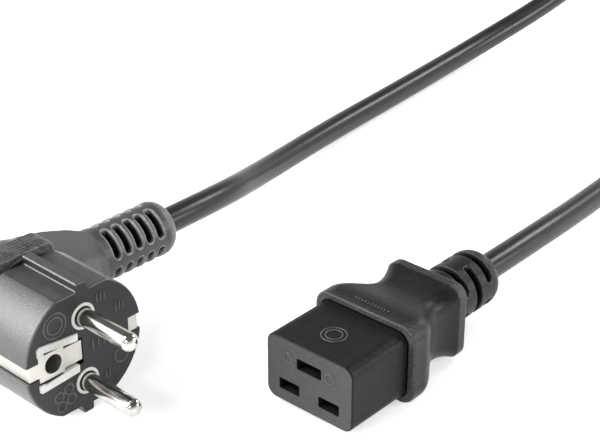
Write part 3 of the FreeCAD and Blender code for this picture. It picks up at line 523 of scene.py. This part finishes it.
# what both strain reliefs share, in millimetres
slottedRelief = {
    "cord": 3.95, "dome": 4.2, "floor": 4.9, "wall": 0.14, "step": 0.35, "domeRows": 11, "lip": 0.25, "mouth": 2.5,
}
connectorRelief = slottedRelief | {
    "radius": 8.2, "length": 23.2, "rim": 0.28, "firstSlot": 5.4, "pitch": 5.2, "slotWidth": 2.5, "sweep": 142.0,
    "rows": 3, "turns": ((90, 270), (0, 180)),
}


def aroundAxis(angle, along, reach):
    # rings of points round the connector's axis: places along it, and the reach in each direction there
    places = np.broadcast_to(np.reshape(along, (-1, 1)), reach.shape)
    return np.stack([reach * np.cos(angle), places, reach * np.sin(angle)], -1)


def ringsAt(angle, stations):
    # the same for stations: each a place along the axis with the half width, half height and corner there
    along, sizes = [s[0] for s in stations], np.array([s[1] for s in stations])
    return aroundAxis(angle, along, edgeDistance(angle, *sizes.T[:, :, None]))


def stationsOf(size):
    # half width, half height and corner along the moulding: seam beside the block, collar with a round
    # rim, a cosine sweep in to the waist, a power sweep out to the flange, and its round rim
    block, collar, waist, flange = (np.array(size[k]) for k in ("block", "collar", "waist", "flange"))
    start, gap = size["collarStart"], size["seamGap"]
    bevelAlong, bevelAcross = size["seamBevel"]
    stations = [(start + size["seamDepth"], block - size["seamInside"]), (start + size["seamDepth"], block + gap),
                (start + bevelAlong, block + gap), (start, block + gap + bevelAcross)]
    stations += [(start + grown, collar - left) for grown, left in quarterRound(size["collarRim"], size["rimRows"])]
    sweepStart = start + size["collarLength"]
    shares = np.linspace(0, 1, size["sweepRows"])
    stations += [(sweepStart + s * size["frontSweep"], waist + (1 + math.cos(math.pi * s)) / 2 * (collar - waist))
                 for s in shares]
    waistAt = sweepStart + size["frontSweep"]
    stations += [(waistAt + s * size["rearSweep"], waist + s**size["rearPower"] * (flange - waist))
                 for s in shares[1:]]
    flangeEnd = waistAt + size["rearSweep"] + size["flangeLength"]
    stations += [(flangeEnd - left, flange - grown)
                 for grown, left in quarterRound(size["flangeRim"], size["rimRows"])]
    return stations, flangeEnd


def reliefRadii(relief, angle, start):
    # a strain relief's radius over angle and length from its foot: the round stem less its slots, then a
    # quarter-round dome that ends at the cord and turns in beside it
    dome, radius, halfWidth = relief["dome"], relief["radius"], relief["slotWidth"] / 2
    halfLength = radius * math.radians(relief["sweep"]) / 2
    slots, edges = [], []
    for row in range(relief["rows"]):
        middle = start + relief["firstSlot"] + row * relief["pitch"] + halfWidth
        edges += [(middle - halfWidth, -1), (middle + halfWidth, 1)]
        slots += [(math.radians(turn), middle, halfLength, halfWidth)
                  for turn in relief["turns"][row % len(relief["turns"])]]
    end = start + relief["length"]
    along = linesNear(start, end - dome, relief["step"], edges, relief["rim"], relief["wall"])
    stem = radius - slotSink(angle[None, :], along[:, None], radius, slots, relief["floor"], relief["rim"],
                             relief["wall"])
    grown, left = quarterRound(dome, relief["domeRows"] - 2)[1:].T
    tail = [(end, relief["cord"] + relief["lip"]), (end - relief["lip"], relief["cord"]),
            (end - relief["mouth"], relief["cord"])]
    tailAlong, tailRadius = np.array(tail).T
    ends = np.concatenate([radius - grown, tailRadius])
    return (np.concatenate([along, end - left, tailAlong]),
            np.concatenate([stem, np.repeat(ends[:, None], len(angle), 1)]))


def connectorMoulding():
    size, relief = connectorSkin, connectorRelief
    angle = fullTurn(size["around"])
    stations, flangeEnd = stationsOf(size)
    along, radius = reliefRadii(relief, angle, flangeEnd)
    rings = np.concatenate([ringsAt(angle, stations), aroundAxis(angle, along, radius)])
    piece = ringSurface("connector_moulding", rings + connectorOrigin)
    markSlots(piece, relief, radius)
    return finishPiece(piece, "connector_overmould", "connectorPvc", angle=50)


matingBlock = {
    "half": connectorSkin["block"], "length": connectorSkin["collarStart"], "rim": 0.5,
    "seat": (12.0, 7.7, 0.4), "seatLength": 8.0,
    "around": 240, "rimRows": 6, "slotAround": 96, "slotCorner": 0.2, "wall": 2.6, "slotHeight": 2.9,
    "chamberHeight": 5.8, "chamberMargin": 0.5, "backWall": 0.3,
    # the flared mouth: its depth, and the shares of it along and across where the flare bends
    "leadIn": 0.15, "flare": (0.4, 0.3),
    # slot middle across, middle up from the axis, width
    "slots": ((-6.5, -4.3, 6.5), (6.5, -4.3, 6.5), (0.0, 3.8, 7.8)),
}
cutterStart = 1.0  # how far in front of a face its cutters begin
facing = 0.9  # the least that a face's normal has along the axis that it looks along


def matingPiece():
    # the block is carried from its round front rim to its seat; each slot cutter is carried from a
    # flared mouth through the front wall into the chamber behind it
    size = matingBlock
    half, seat = np.array(size["half"]), np.array(size["seat"])
    lead, wall, length = size["leadIn"], size["wall"], size["length"]
    flareAlong, flareAcross = size["flare"]
    back = length + size["seatLength"]
    stations = [(grown, half - left) for grown, left in quarterRound(size["rim"], size["rimRows"])]
    stations += [(length, half), (length, seat), (back, seat)]
    block = ringSurface("mating_block", ringsAt(fullTurn(size["around"]), stations) + connectorOrigin)
    cutters = []
    for across, up, width in size["slots"]:
        mouth = np.array([width / 2, size["slotHeight"] / 2, size["slotCorner"]])
        chamber = np.array([width / 2 + size["chamberMargin"], size["chamberHeight"] / 2, size["slotCorner"]])
        path = [(-cutterStart, mouth + lead + cutterStart), (0.0, mouth + lead),
                (lead * flareAlong, mouth + lead * flareAcross), (lead, mouth), (wall, mouth), (wall, chamber),
                (back - size["backWall"], chamber)]
        rings = ringsAt(fullTurn(size["slotAround"]), path)
        cutters.append(ringSurface("slotCutter", rings + connectorOrigin + (across, 0, up)))
    cutOut(block, cutters, "blockPlastic")
    # faces looking forward out of the mating face take the lighter copy: painted light
    finishFaces(block, lambda normal, middle: normal[:, 1] < -facing, "blockFacePaintedLight")
    return finishPiece(block, "contact_carrier", "blockPlastic", angle=30)


connectorMarks = {
    "height": 0.2, "width": 0.22,
    # rings on the mating face: middle across, middle up from the axis, radius
    "faceRings": ((6.9, 4.0, 1.35), (-6.9, 4.3, 1.35)),
    # rings on top: middle across, place along, radius
    "topRings": ((0.0, 9.5, 3.3), (0.0, 9.5, 2.2)),
    # short bars on the collar: how many, their pitch, their place along, half width and half length
    "bars": 11, "barPitch": 1.05, "barsAlong": 24.3, "barHalf": (0.16, 0.5),
}


def connectorMarksPiece():
    # beads on the face turned from along the connector, and beads and bars on its top, in a plastic paler than the
    # moulding: a painted highlight
    size = connectorMarks
    width, height = size["width"], size["height"]
    skins = [ringMark((across, up), radius, width, height, 0.0)[..., (1, 0, 2)] * (1, -1, 1)
             for across, up, radius in size["faceRings"]]
    top, collarTop = matingBlock["half"][1], connectorSkin["collar"][1]
    skins += [ringMark((across, along), radius, width, height, top)[..., (1, 2, 0)]
              for across, along, radius in size["topRings"]]
    places = (np.arange(size["bars"]) - (size["bars"] - 1) / 2) * size["barPitch"]
    skins += [barMark((across, size["barsAlong"]), size["barHalf"], height, collarTop)[..., (1, 2, 0)]
              for across in places]
    piece = ringSurface("connector_marks", *(skin + connectorOrigin for skin in skins))
    # the marks' plastic is paler than the moulding: a painted highlight
    return finishPiece(piece, None, "markHighlightPvc", angle=60)


connectorMoulding()
matingPiece()
connectorMarksPiece()
print("connector made")


# Plug.
# Worked out about the middle of the plug's face: first along the pins, then along the cord, then up.

pinMounts = [mounts["plug_line_pin"], mounts["plug_neutral_pin"]]
pinAxis = np.array(pinMounts[0]["axis"])
faceToMiddle = 8.6
plugOrigin = np.mean([m["pos_m"] for m in pinMounts], 0) / mm - pinAxis * faceToMiddle
plugAxes = np.array([pinAxis, (-pinAxis[1], pinAxis[0], 0), (0, 0, 1)])


def inPlug(points):
    # the plug's own directions turned into the frame's
    return np.asarray(points) @ plugAxes + plugOrigin


plugBarrel = {
    "radius": 18.5, "depth": 20.8, "leftFlat": 16.9, "rightFlat": 16.6, "faceSink": 0.12, "rim": 0.55,
    "rimRows": 5, "bevel": 0.28, "cutAround": 64,
    "tabLeft": -1.5, "tabWidth": 2.8, "tabTop": 19.0, "tabBevel": 0.3, "tabFoot": 0.22, "tabSlope": 1.0,
    # the least that a face's normal has across the tab where it is taken for the tab's side wall
    "tabFacing": 0.98,
    "grooveHalf": 2.4, "grooveFloor": 14.5, "grooveLength": 18.0, "grooveDraft": 0.99,
    "handRadius": 18.0, "handLength": 20.0, "handRound": 11.0, "handRows": 12,
    # the opening for the earth plate: along the cord from, to, half height, depth and corner
    "window": (-14.5, -0.7, 3.9, 3.0, 0.3),
    # the earth hole: its place along the cord, radius and depth
    "earthHole": (-9.8, 3.4, 17.0),
}


def barrelOutline(size):
    # half the barrel's outline from the groove at one side to the groove at the other, once with the
    # grooves and once without: circle, flat, tab with a bevel and a sloped foot, flat, circle
    radius, floor, groove = size["radius"], size["grooveFloor"], size["grooveHalf"]
    left, right = size["tabLeft"], size["tabLeft"] + size["tabWidth"]
    bevel, top, foot = size["tabBevel"], size["tabTop"], size["tabFoot"]

    def arc(start, end, points=30):
        turn = np.linspace(start, end, points)
        return [*zip(radius * np.cos(turn), radius * np.sin(turn))]

    grooveTurn = math.asin(groove / radius)
    rightTurn, leftTurn = math.asin(size["rightFlat"] / radius), math.pi - math.asin(size["leftFlat"] / radius)
    middle = arc(grooveTurn, rightTurn)
    middle += [(right + size["tabSlope"], size["rightFlat"]), (right, top), (left + bevel, top),
               (left, top - bevel), (left, size["leftFlat"] + foot), (left - foot, size["leftFlat"])]
    middle += arc(leftTurn, math.pi - grooveTurn)
    wall = groove * size["grooveDraft"]
    grooved = [(floor, 0), (floor, wall), *middle, (-floor, wall)]
    plain = [*arc(0, grooveTurn / 2, 2), *middle, *arc(math.pi - grooveTurn / 2, math.pi, 2)[:1]]
    return [np.concatenate([np.array(half), -np.array(half)]) for half in (grooved, plain)]


def barrelPiece():
    # the outline carried back from the face, less at the round rim, then the hand part as rings of a
    # circle that close in a quarter-round dome
    size = plugBarrel
    grooved, plain = barrelOutline(size)
    stations = [(-size["faceSink"] - grown, grooved * (1 - left / size["radius"]))
                for grown, left in quarterRound(size["rim"], size["rimRows"])]
    stations += [(-size["grooveLength"], grooved), (-size["grooveLength"], plain), (-size["depth"], plain)]
    turn = np.arctan2(plain[:, 1], plain[:, 0])
    circle = np.stack([np.cos(turn), np.sin(turn)], -1)
    back = size["depth"] + size["handLength"]
    stations += [(-size["depth"], circle * size["handRadius"])]
    stations += [(-back + left, circle * (size["handRadius"] - grown))
                 for grown, left in quarterRound(size["handRound"], size["handRows"])]
    barrel = ringSurface("plug_barrel", inPlug(acrossPins(stations)))
    start, end, halfHeight, depth, corner = size["window"]
    angle = fullTurn(size["cutAround"])
    window = boxRings(angle, (cutterStart, -depth), ((end - start) / 2, halfHeight, corner), ((start + end) / 2, 0))
    holeAt, holeRadius, holeDepth = size["earthHole"]
    hole = boxRings(angle, (cutterStart, -holeDepth), np.full(3, holeRadius), (holeAt, 0))
    cutOut(barrel, [ringSurface("barrelCutter", inPlug(rings)) for rings in (window, hole)], "satinPvc")

    def faceOrTab(normal, middle):
        byTab = abs((middle - plugOrigin) @ plugAxes[1]) < size["tabWidth"]
        return (normal @ pinAxis > facing) | ((abs(normal @ plugAxes[1]) > size["tabFacing"]) & byTab)

    # the face and the tab's side walls take the darker copy of the barrel plastic: painted shade
    finishFaces(barrel, faceOrTab, "facePaintedShadePvc")
    # the bevelled edges take the pale edge plastic: painted highlight
    return finishPiece(barrel, "plug_overmould", "satinPvc", 28, size["bevel"], "edgeHighlightPvc")


grip = {
    "start": -22.0, "length": 7.5, "halfWidth": 10.0, "halfHeight": 3.5, "top": 19.0, "corner": 3.2, "edge": 0.9,
    "lines": 5, "lineDepth": 0.12, "rows": 61, "around": 240,
}


def gripPiece(side):
    # a low ridge with round ends: round-cornered rectangles carried along the pins' direction, smaller by
    # a quarter-round at both faces, and by half waves between them that leave fine lines
    size = grip
    angle = fullTurn(size["around"])
    share = np.linspace(0, 1, size["rows"])
    fromEnd = np.minimum(share, 1 - share) * size["length"]
    edge = size["edge"]
    inset = edge - np.sqrt(edge**2 - np.clip(edge - fromEnd, 0, edge)**2)
    wave = 1 - np.abs(np.sin(share * math.pi * (size["lines"] + 1)))
    inset += size["lineDepth"] * wave**2 * (fromEnd > edge)
    reach = edgeDistance(angle, *(size[k] - inset[:, None] for k in ("halfWidth", "halfHeight", "corner")))
    along = np.broadcast_to((size["start"] - share * size["length"])[:, None], reach.shape)
    up = (size["top"] - size["halfHeight"] + reach * np.sin(angle)) * side
    rings = np.stack([along, reach * np.cos(angle), up], -1)
    piece = ringSurface(f"plug_grip_{'upper' if side > 0 else 'lower'}", inPlug(rings))
    return finishPiece(piece, None, "gripPvc", angle=45)


plugNeck = {
    "offset": -33.6, "rows": 40,
    # places along the cord; there the half width away from and towards the pins, half height and corner
    "sections": ((2.0, 9.2, 18.0, 11.9, 1.6), (12.0, 9.1, 16.5, 11.0, 1.6), (20.0, 8.8, 12.0, 9.67, 2.0),
                 (26.5, 8.3, 9.0, 8.58, 4.6), (30.0, 8.0, 8.0, 8.0, 7.95)),
}
plugRelief = slottedRelief | {
    "radius": 8.0, "length": 27.0, "rim": 0.5, "firstSlot": 2.6, "pitch": 3.95, "slotWidth": 2.25, "sweep": 68.0,
    "rows": 5, "turns": ((45, 135, 225, 315),),
}


def neckPiece():
    # the neck's sections are drawn between in straight lines, its side towards the pins flaring to the
    # barrel, and go on as the slotted relief, whose points lie in the same directions
    size, relief = plugNeck, plugRelief
    sections = np.array(size["sections"])
    along = np.linspace(sections[0, 0], sections[-1, 0], size["rows"])
    away, towards, height, corner = (np.interp(along, sections[:, 0], column)[:, None]
                                     for column in sections.T[1:])
    neck = cornerRings((away + towards) / 2, height, corner)
    angle = np.arctan2(neck[-1, :, 1], neck[-1, :, 0])
    neck[..., 0] += (towards - away) / 2
    stemAlong, radius = reliefRadii(relief, angle, along[-1])
    stem = radius[..., None] * np.stack([np.cos(angle), np.sin(angle)], -1)
    across = np.concatenate([neck[:-1], stem])
    places = np.concatenate([along[:-1], stemAlong])[:, None]
    rings = np.stack([size["offset"] + across[..., 0], np.broadcast_to(places, across.shape[:2]),
                      across[..., 1]], -1)
    piece = ringSurface("plug_neck", inPlug(rings))
    markSlots(piece, relief, radius)
    return finishPiece(piece, None, "plugPvc", angle=50)


plugPin = {
    "radius": 2.4, "length": 19.0, "root": -6.0, "tip": 2.1, "spacing": 19.0, "around": 64, "tipRows": 12,
    # where the collars end, and the gap cut between each pin and its collar
    "collarTop": 0.15, "gap": 0.38, "gapDepth": 1.0,
}


def pinPiece(side, node):
    # a circle carried along the pin, its radius closing over the tip by a quarter-round
    size = plugPin
    turn = fullTurn(size["around"])
    middle = side * size["spacing"] / 2
    stations = [(size["root"], size["radius"])]
    stations += [(size["length"] - left, size["radius"] - grown)
                 for grown, left in quarterRound(size["tip"], size["tipRows"])]
    rings = acrossPins([(along, np.column_stack([radius * np.cos(turn), middle + radius * np.sin(turn)]))
                        for along, radius in stations])
    piece = ringSurface(node + "_turned", inPlug(rings))
    return finishPiece(piece, node, "nickel", angle=50)


softening = {"weld": 0.000002, "flatAngle": 0.5}  # metres and degrees


def softenedCopy(node, finish, bevel, cutters=()):
    # a copy of a CAD piece with its loose triangles welded, flat faces made whole, the cutters' shapes
    # taken out and edges rounded
    piece = frame["nodes"][node].copy()
    piece.data = piece.data.copy()
    piece.name = node + "_softened"
    for key in [key for key in piece.keys() if key.startswith("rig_")]:
        del piece[key]
    piece.parent = None
    intoScene(piece)
    weld = piece.modifiers.new("weld", "WELD")
    weld.merge_threshold = softening["weld"]
    flatten = piece.modifiers.new("flatten", "DECIMATE")
    flatten.decimate_type = "DISSOLVE"
    flatten.angle_limit = math.radians(softening["flatAngle"])
    workIn(piece)
    piece.data.materials.clear()
    if cutters:
        cutOut(piece, cutters, finish)
    return finishPiece(piece, node, finish, 30, bevel)


def collarGaps():
    # round cutters that leave a gap between each pin and its collar, its walls painted near-black as shade
    size = plugPin
    turn = fullTurn(size["around"])
    places = size["collarTop"] + cutterStart, size["collarTop"] - size["gapDepth"]
    half = np.full(3, size["radius"] + size["gap"])
    return [ringSurface("gapCutter", inPlug(boxRings(turn, places, half, (0, side * size["spacing"] / 2))))
            for side in (1, -1)]


earthFrame = {
    # corners of the upper and the lower arm on the face, how far the frame stands out, and its depth
    "upper": ((-2.3, 5.65), (-14.2, 6.9), (-14.9, 6.3), (-14.9, 4.0), (-13.0, 4.0), (-13.0, 4.8), (-2.3, 3.5)),
    "lower": ((-2.3, -3.5), (-13.0, -4.4), (-13.0, -4.0), (-14.9, -4.0), (-14.9, -5.9), (-14.2, -6.4),
              (-2.3, -5.65)),
    "proud": 0.35, "depth": 2.4, "bevel": 0.35,
    # the room for it: from, to and half height, and the radius left to the collars and its points
    "room": (-15.4, -1.6, 7.6), "bay": 3.75, "bayPoints": 12,
}


def framePiece():
    # both arms carried back from in front of the face
    size = earthFrame
    arms = [acrossPins([(along, size[arm]) for along in (size["proud"], -size["depth"])])
            for arm in ("upper", "lower")]
    piece = ringSurface("plug_earth_frame", *(inPlug(arm) for arm in arms))
    return finishPiece(piece, None, "palePlastic", 30, size["bevel"])


def frameRoom():
    # room in the insert for the frame, with a round bay left for each pin's collar
    size = earthFrame
    start, end, high = size["room"]
    radius, pinHeight = size["bay"], plugPin["spacing"] / 2
    turn = math.pi + np.linspace(math.asin((pinHeight - high) / radius), math.acos(-end / radius), size["bayPoints"])
    upper = [(start, high), *zip(radius * np.cos(turn), pinHeight + radius * np.sin(turn))]
    corners = upper + [(across, -up) for across, up in upper[::-1]]
    return ringSurface("roomCutter", inPlug(acrossPins([(along, corners) for along in (cutterStart, -size["depth"])])))


plugMarks = {
    "height": 0.22, "width": 0.26, "base": -0.12,
    # middle across and up, and radius
    "rings": ((-8.8, 10.6, 3.4), (-8.8, 10.6, 2.3), (11.4, -7.0, 2.2), (-9.2, -10.2, 1.4), (-6.0, -9.1, 1.4),
              (-8.6, -13.2, 1.4), (-5.4, -12.2, 1.4)),
    # middle across and up, and half length
    "bars": ((4.6, 12.6, 1.6), (5.8, 12.6, 1.6), (7.0, 12.6, 1.6), (10.4, 7.6, 2.0), (11.6, 7.4, 1.6),
             (12.8, 7.2, 1.2), (2.4, 0.0, 2.2), (4.2, 0.0, 2.6), (6.0, 0.0, 2.2), (6.0, -10.6, 1.4),
             (7.2, -10.6, 1.4)),
    "barHalf": 0.2,
}


def marksPiece():
    size = plugMarks
    skins = [ringMark((across, up), radius, size["width"], size["height"], size["base"])
             for across, up, radius in size["rings"]]
    skins += [barMark((across, up), (size["barHalf"], high), size["height"], size["base"])
              for across, up, high in size["bars"]]
    piece = ringSurface("plug_marks", *(inPlug(skin) for skin in skins))
    # the marks' plastic is paler than the face: a painted highlight
    return finishPiece(piece, None, "markHighlightPvc", angle=60)


plugSkins = [
    barrelPiece(), gripPiece(1), gripPiece(-1), neckPiece(),
    pinPiece(1, "plug_line_pin"), pinPiece(-1, "plug_neutral_pin"),
    softenedCopy("plug_insert", "palePlastic", 0.12, [*collarGaps(), frameRoom()]),
    framePiece(), marksPiece(), softenedCopy("plug_earth_clip", "clipNickel", 0.1),
]
print("plug made")


# Cord.

cordRun = {
    "length": 1.8, "diameter": 0.0078, "exit": (0, 0.0361, 0.0115),
    # the coil's middle, its turns and the points in each
    "coilMiddle": (-0.061, 0.336), "turns": 4.5, "pointsPerTurn": 16,
    # its radius and its height at the start, and each change of them: from and to in degrees, by how much
    "radius": 0.045, "lanes": ((305, 360, -0.008), (945, 1005, 0.008), (1255, 1310, -0.004)),
    "height": 0.0052, "layers": ((635, 705, 0.008), (1235, 1300, 0.008)),
    "fromConnector": (
        (0, 0.0161, 0.0115), (0, 0.0556, 0.0115), (-0.0045, 0.0999, 0.0074), (-0.0108, 0.1479, 0.0041),
        (-0.0132, 0.204, 0.0044), (-0.016, 0.256, 0.0052), (-0.016, 0.308, 0.0052)),
    "toPlug": (
        (-0.102, 0.308, 0.0212), (-0.102, 0.267, 0.0212), (-0.1018, 0.224, 0.013), (-0.1076, 0.18, 0.0046),
        (-0.1044, 0.134, 0.004), (-0.1012, 0.088, 0.0041), (-0.091, 0.044, 0.0086)),
    "inNeck": (76.5, 37.0),  # the last places, along the plug's neck in millimetres
}


def coilPoints(run):
    # outside and low, inside and low, up to the second layer inside, outside again, and the last on top.
    # Each point is at half a step, out by 1 / cos(half a step)
    step = 2 * math.pi / run["pointsPerTurn"]
    turn = (np.arange(int(run["turns"] * run["pointsPerTurn"])) + 0.5) * step

    def moved(value, changes):
        return value + sum(by * smoothStep((np.degrees(turn) - start) / (end - start)) for start, end, by in changes)

    radius = moved(run["radius"], run["lanes"]) / math.cos(step / 2)
    x, y = run["coilMiddle"]
    return np.stack([x + radius * np.cos(turn), y + radius * np.sin(turn), moved(run["height"], run["layers"])], -1)


def cordPiece(run):
    # one open NURBS curve through both free stretches and the coil
    plugEnd = [inPlug((plugNeck["offset"], along, 0)) * mm for along in run["inNeck"]]
    points = np.concatenate([run["fromConnector"], coilPoints(run), run["toPlug"], plugEnd])
    curve = bpy.data.curves.new("cord", "CURVE")
    curve.dimensions = "3D"
    spline = curve.splines.new("NURBS")
    spline.points.add(len(points) - 1)
    spline.points.foreach_set("co", np.column_stack([points, np.ones(len(points))]).ravel())
    spline.order_u = 3
    spline.use_endpoint_u = True
    spline.resolution_u = 12
    curve.bevel_depth = run["diameter"] / 2
    curve.bevel_resolution = 8
    curve.use_fill_caps = True
    cord = bpy.data.objects.new("cord", curve)
    intoScene(cord)
    curve.materials.append(finishes["cordPvc"])
    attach(cord, "root")
    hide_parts("cord_from_connector", "cord_coil", "cord_to_plug")
    return cord


cord = cordPiece(cordRun)
print("cord laid")


# Finishes of the CAD pieces that stay.

carried = {"coil_tie": "strap"}
for pole, sheath in (("line", "brownPvc"), ("neutral", "bluePvc"), ("earth", "greenPvc")):
    carried |= {f"{pole}_contact": "contactBrass", f"{pole}_conductor": "copper", f"{pole}_core": sheath,
                f"plug_{pole}_conductor": "copper", f"plug_{pole}_core": sheath}
for node, finishName in carried.items():
    materials = frame["nodes"][node].data.materials
    materials.clear()
    materials.append(finishes[finishName])
print("carried pieces finished")


# Floor, world and lamps.

studio = {
    # the floor's half side in millimetres, its colour, its roughness, and how much it is lifted to white
    "floorHalf": 3000.0, "floorColour": (0.92, 0.92, 0.92), "floorRoughness": 0.9, "floorLift": 0.58,
    # the world is white up to the first height (sine) and fades to the ceiling's strength by the second
    "horizon": 0.18, "overhead": 0.55, "ceiling": 0.16,
    # place and aim in metres, size, power
    "lamps": {
        "leftWindow": ((-0.72, -0.76, 0.72), (-0.04, -0.07, 0.01), (0.5, 1.15), 21.0),
        "frontFill": ((0.3, -1.2, 0.75), (0, 0, 0.01), (0.5, 0.16), 4.5),
        "rightBack": ((0.95, 0.75, 0.42), (0, 0, 0.01), (0.45, 0.3), 6.0),
        "backWindow": ((0.15, 0.95, 0.64), (0.0, 0.06, 0.01), (0.3, 0.22), 3.2),
    },
}


def addFloor():
    half = studio["floorHalf"]
    corners = [(-half, -half, 0), (half, -half, 0), (half, half, 0), (-half, half, 0)]
    floor = shapeFrom("floor", corners, [0, 1, 2, 3], [4])
    material, tree, inputs = plainMaterial("paleFloor", 0.0)
    inputs["Base Color"].default_value = (*studio["floorColour"], 1)
    inputs["Roughness"].default_value = studio["floorRoughness"]
    # the floor is lifted to white where it is looked at, in a mirror or through glass too
    path = tree.nodes.new("ShaderNodeLightPath")
    seen = path.outputs["Is Camera Ray"]
    for label in ("Is Glossy Ray", "Is Transmission Ray"):
        seen = mathNode(tree, "MAXIMUM", seen, path.outputs[label])
    inputs["Emission Color"].default_value = (1, 1, 1, 1)
    tree.links.new(mathNode(tree, "MULTIPLY", seen, studio["floorLift"]), inputs["Emission Strength"])
    floor.data.materials.append(material)


def addWorld():
    # a white backdrop all round that dims towards the ceiling
    world = bpy.data.worlds.new("studioWorld")
    world.use_nodes = True
    tree = world.node_tree
    background = tree.nodes["Background"]
    background.inputs["Color"].default_value = (1, 1, 1, 1)
    height = tree.nodes.new("ShaderNodeSeparateXYZ")
    tree.links.new(tree.nodes.new("ShaderNodeTexCoord").outputs["Generated"], height.inputs["Vector"])
    fade = rangeNode(tree, height.outputs["Z"], studio["horizon"], studio["overhead"], 1.0, studio["ceiling"])
    fade.node.interpolation_type = "SMOOTHSTEP"
    tree.links.new(fade, background.inputs["Strength"])
    bpy.context.scene.world = world


def addLamps():
    for name, (place, aim, size, power) in studio["lamps"].items():
        data = bpy.data.lights.new(name, "AREA")
        data.shape = "RECTANGLE"
        data.size, data.size_y = size
        data.energy = power
        lamp = bpy.data.objects.new(name, data)
        lamp.location = place
        lamp.rotation_euler = (Vector(aim) - Vector(place)).to_track_quat("-Z", "Y").to_euler()
        intoScene(lamp)


addFloor()
addWorld()
addLamps()
bpy.context.scene.view_settings.view_transform = "Standard"
print("studio lit")
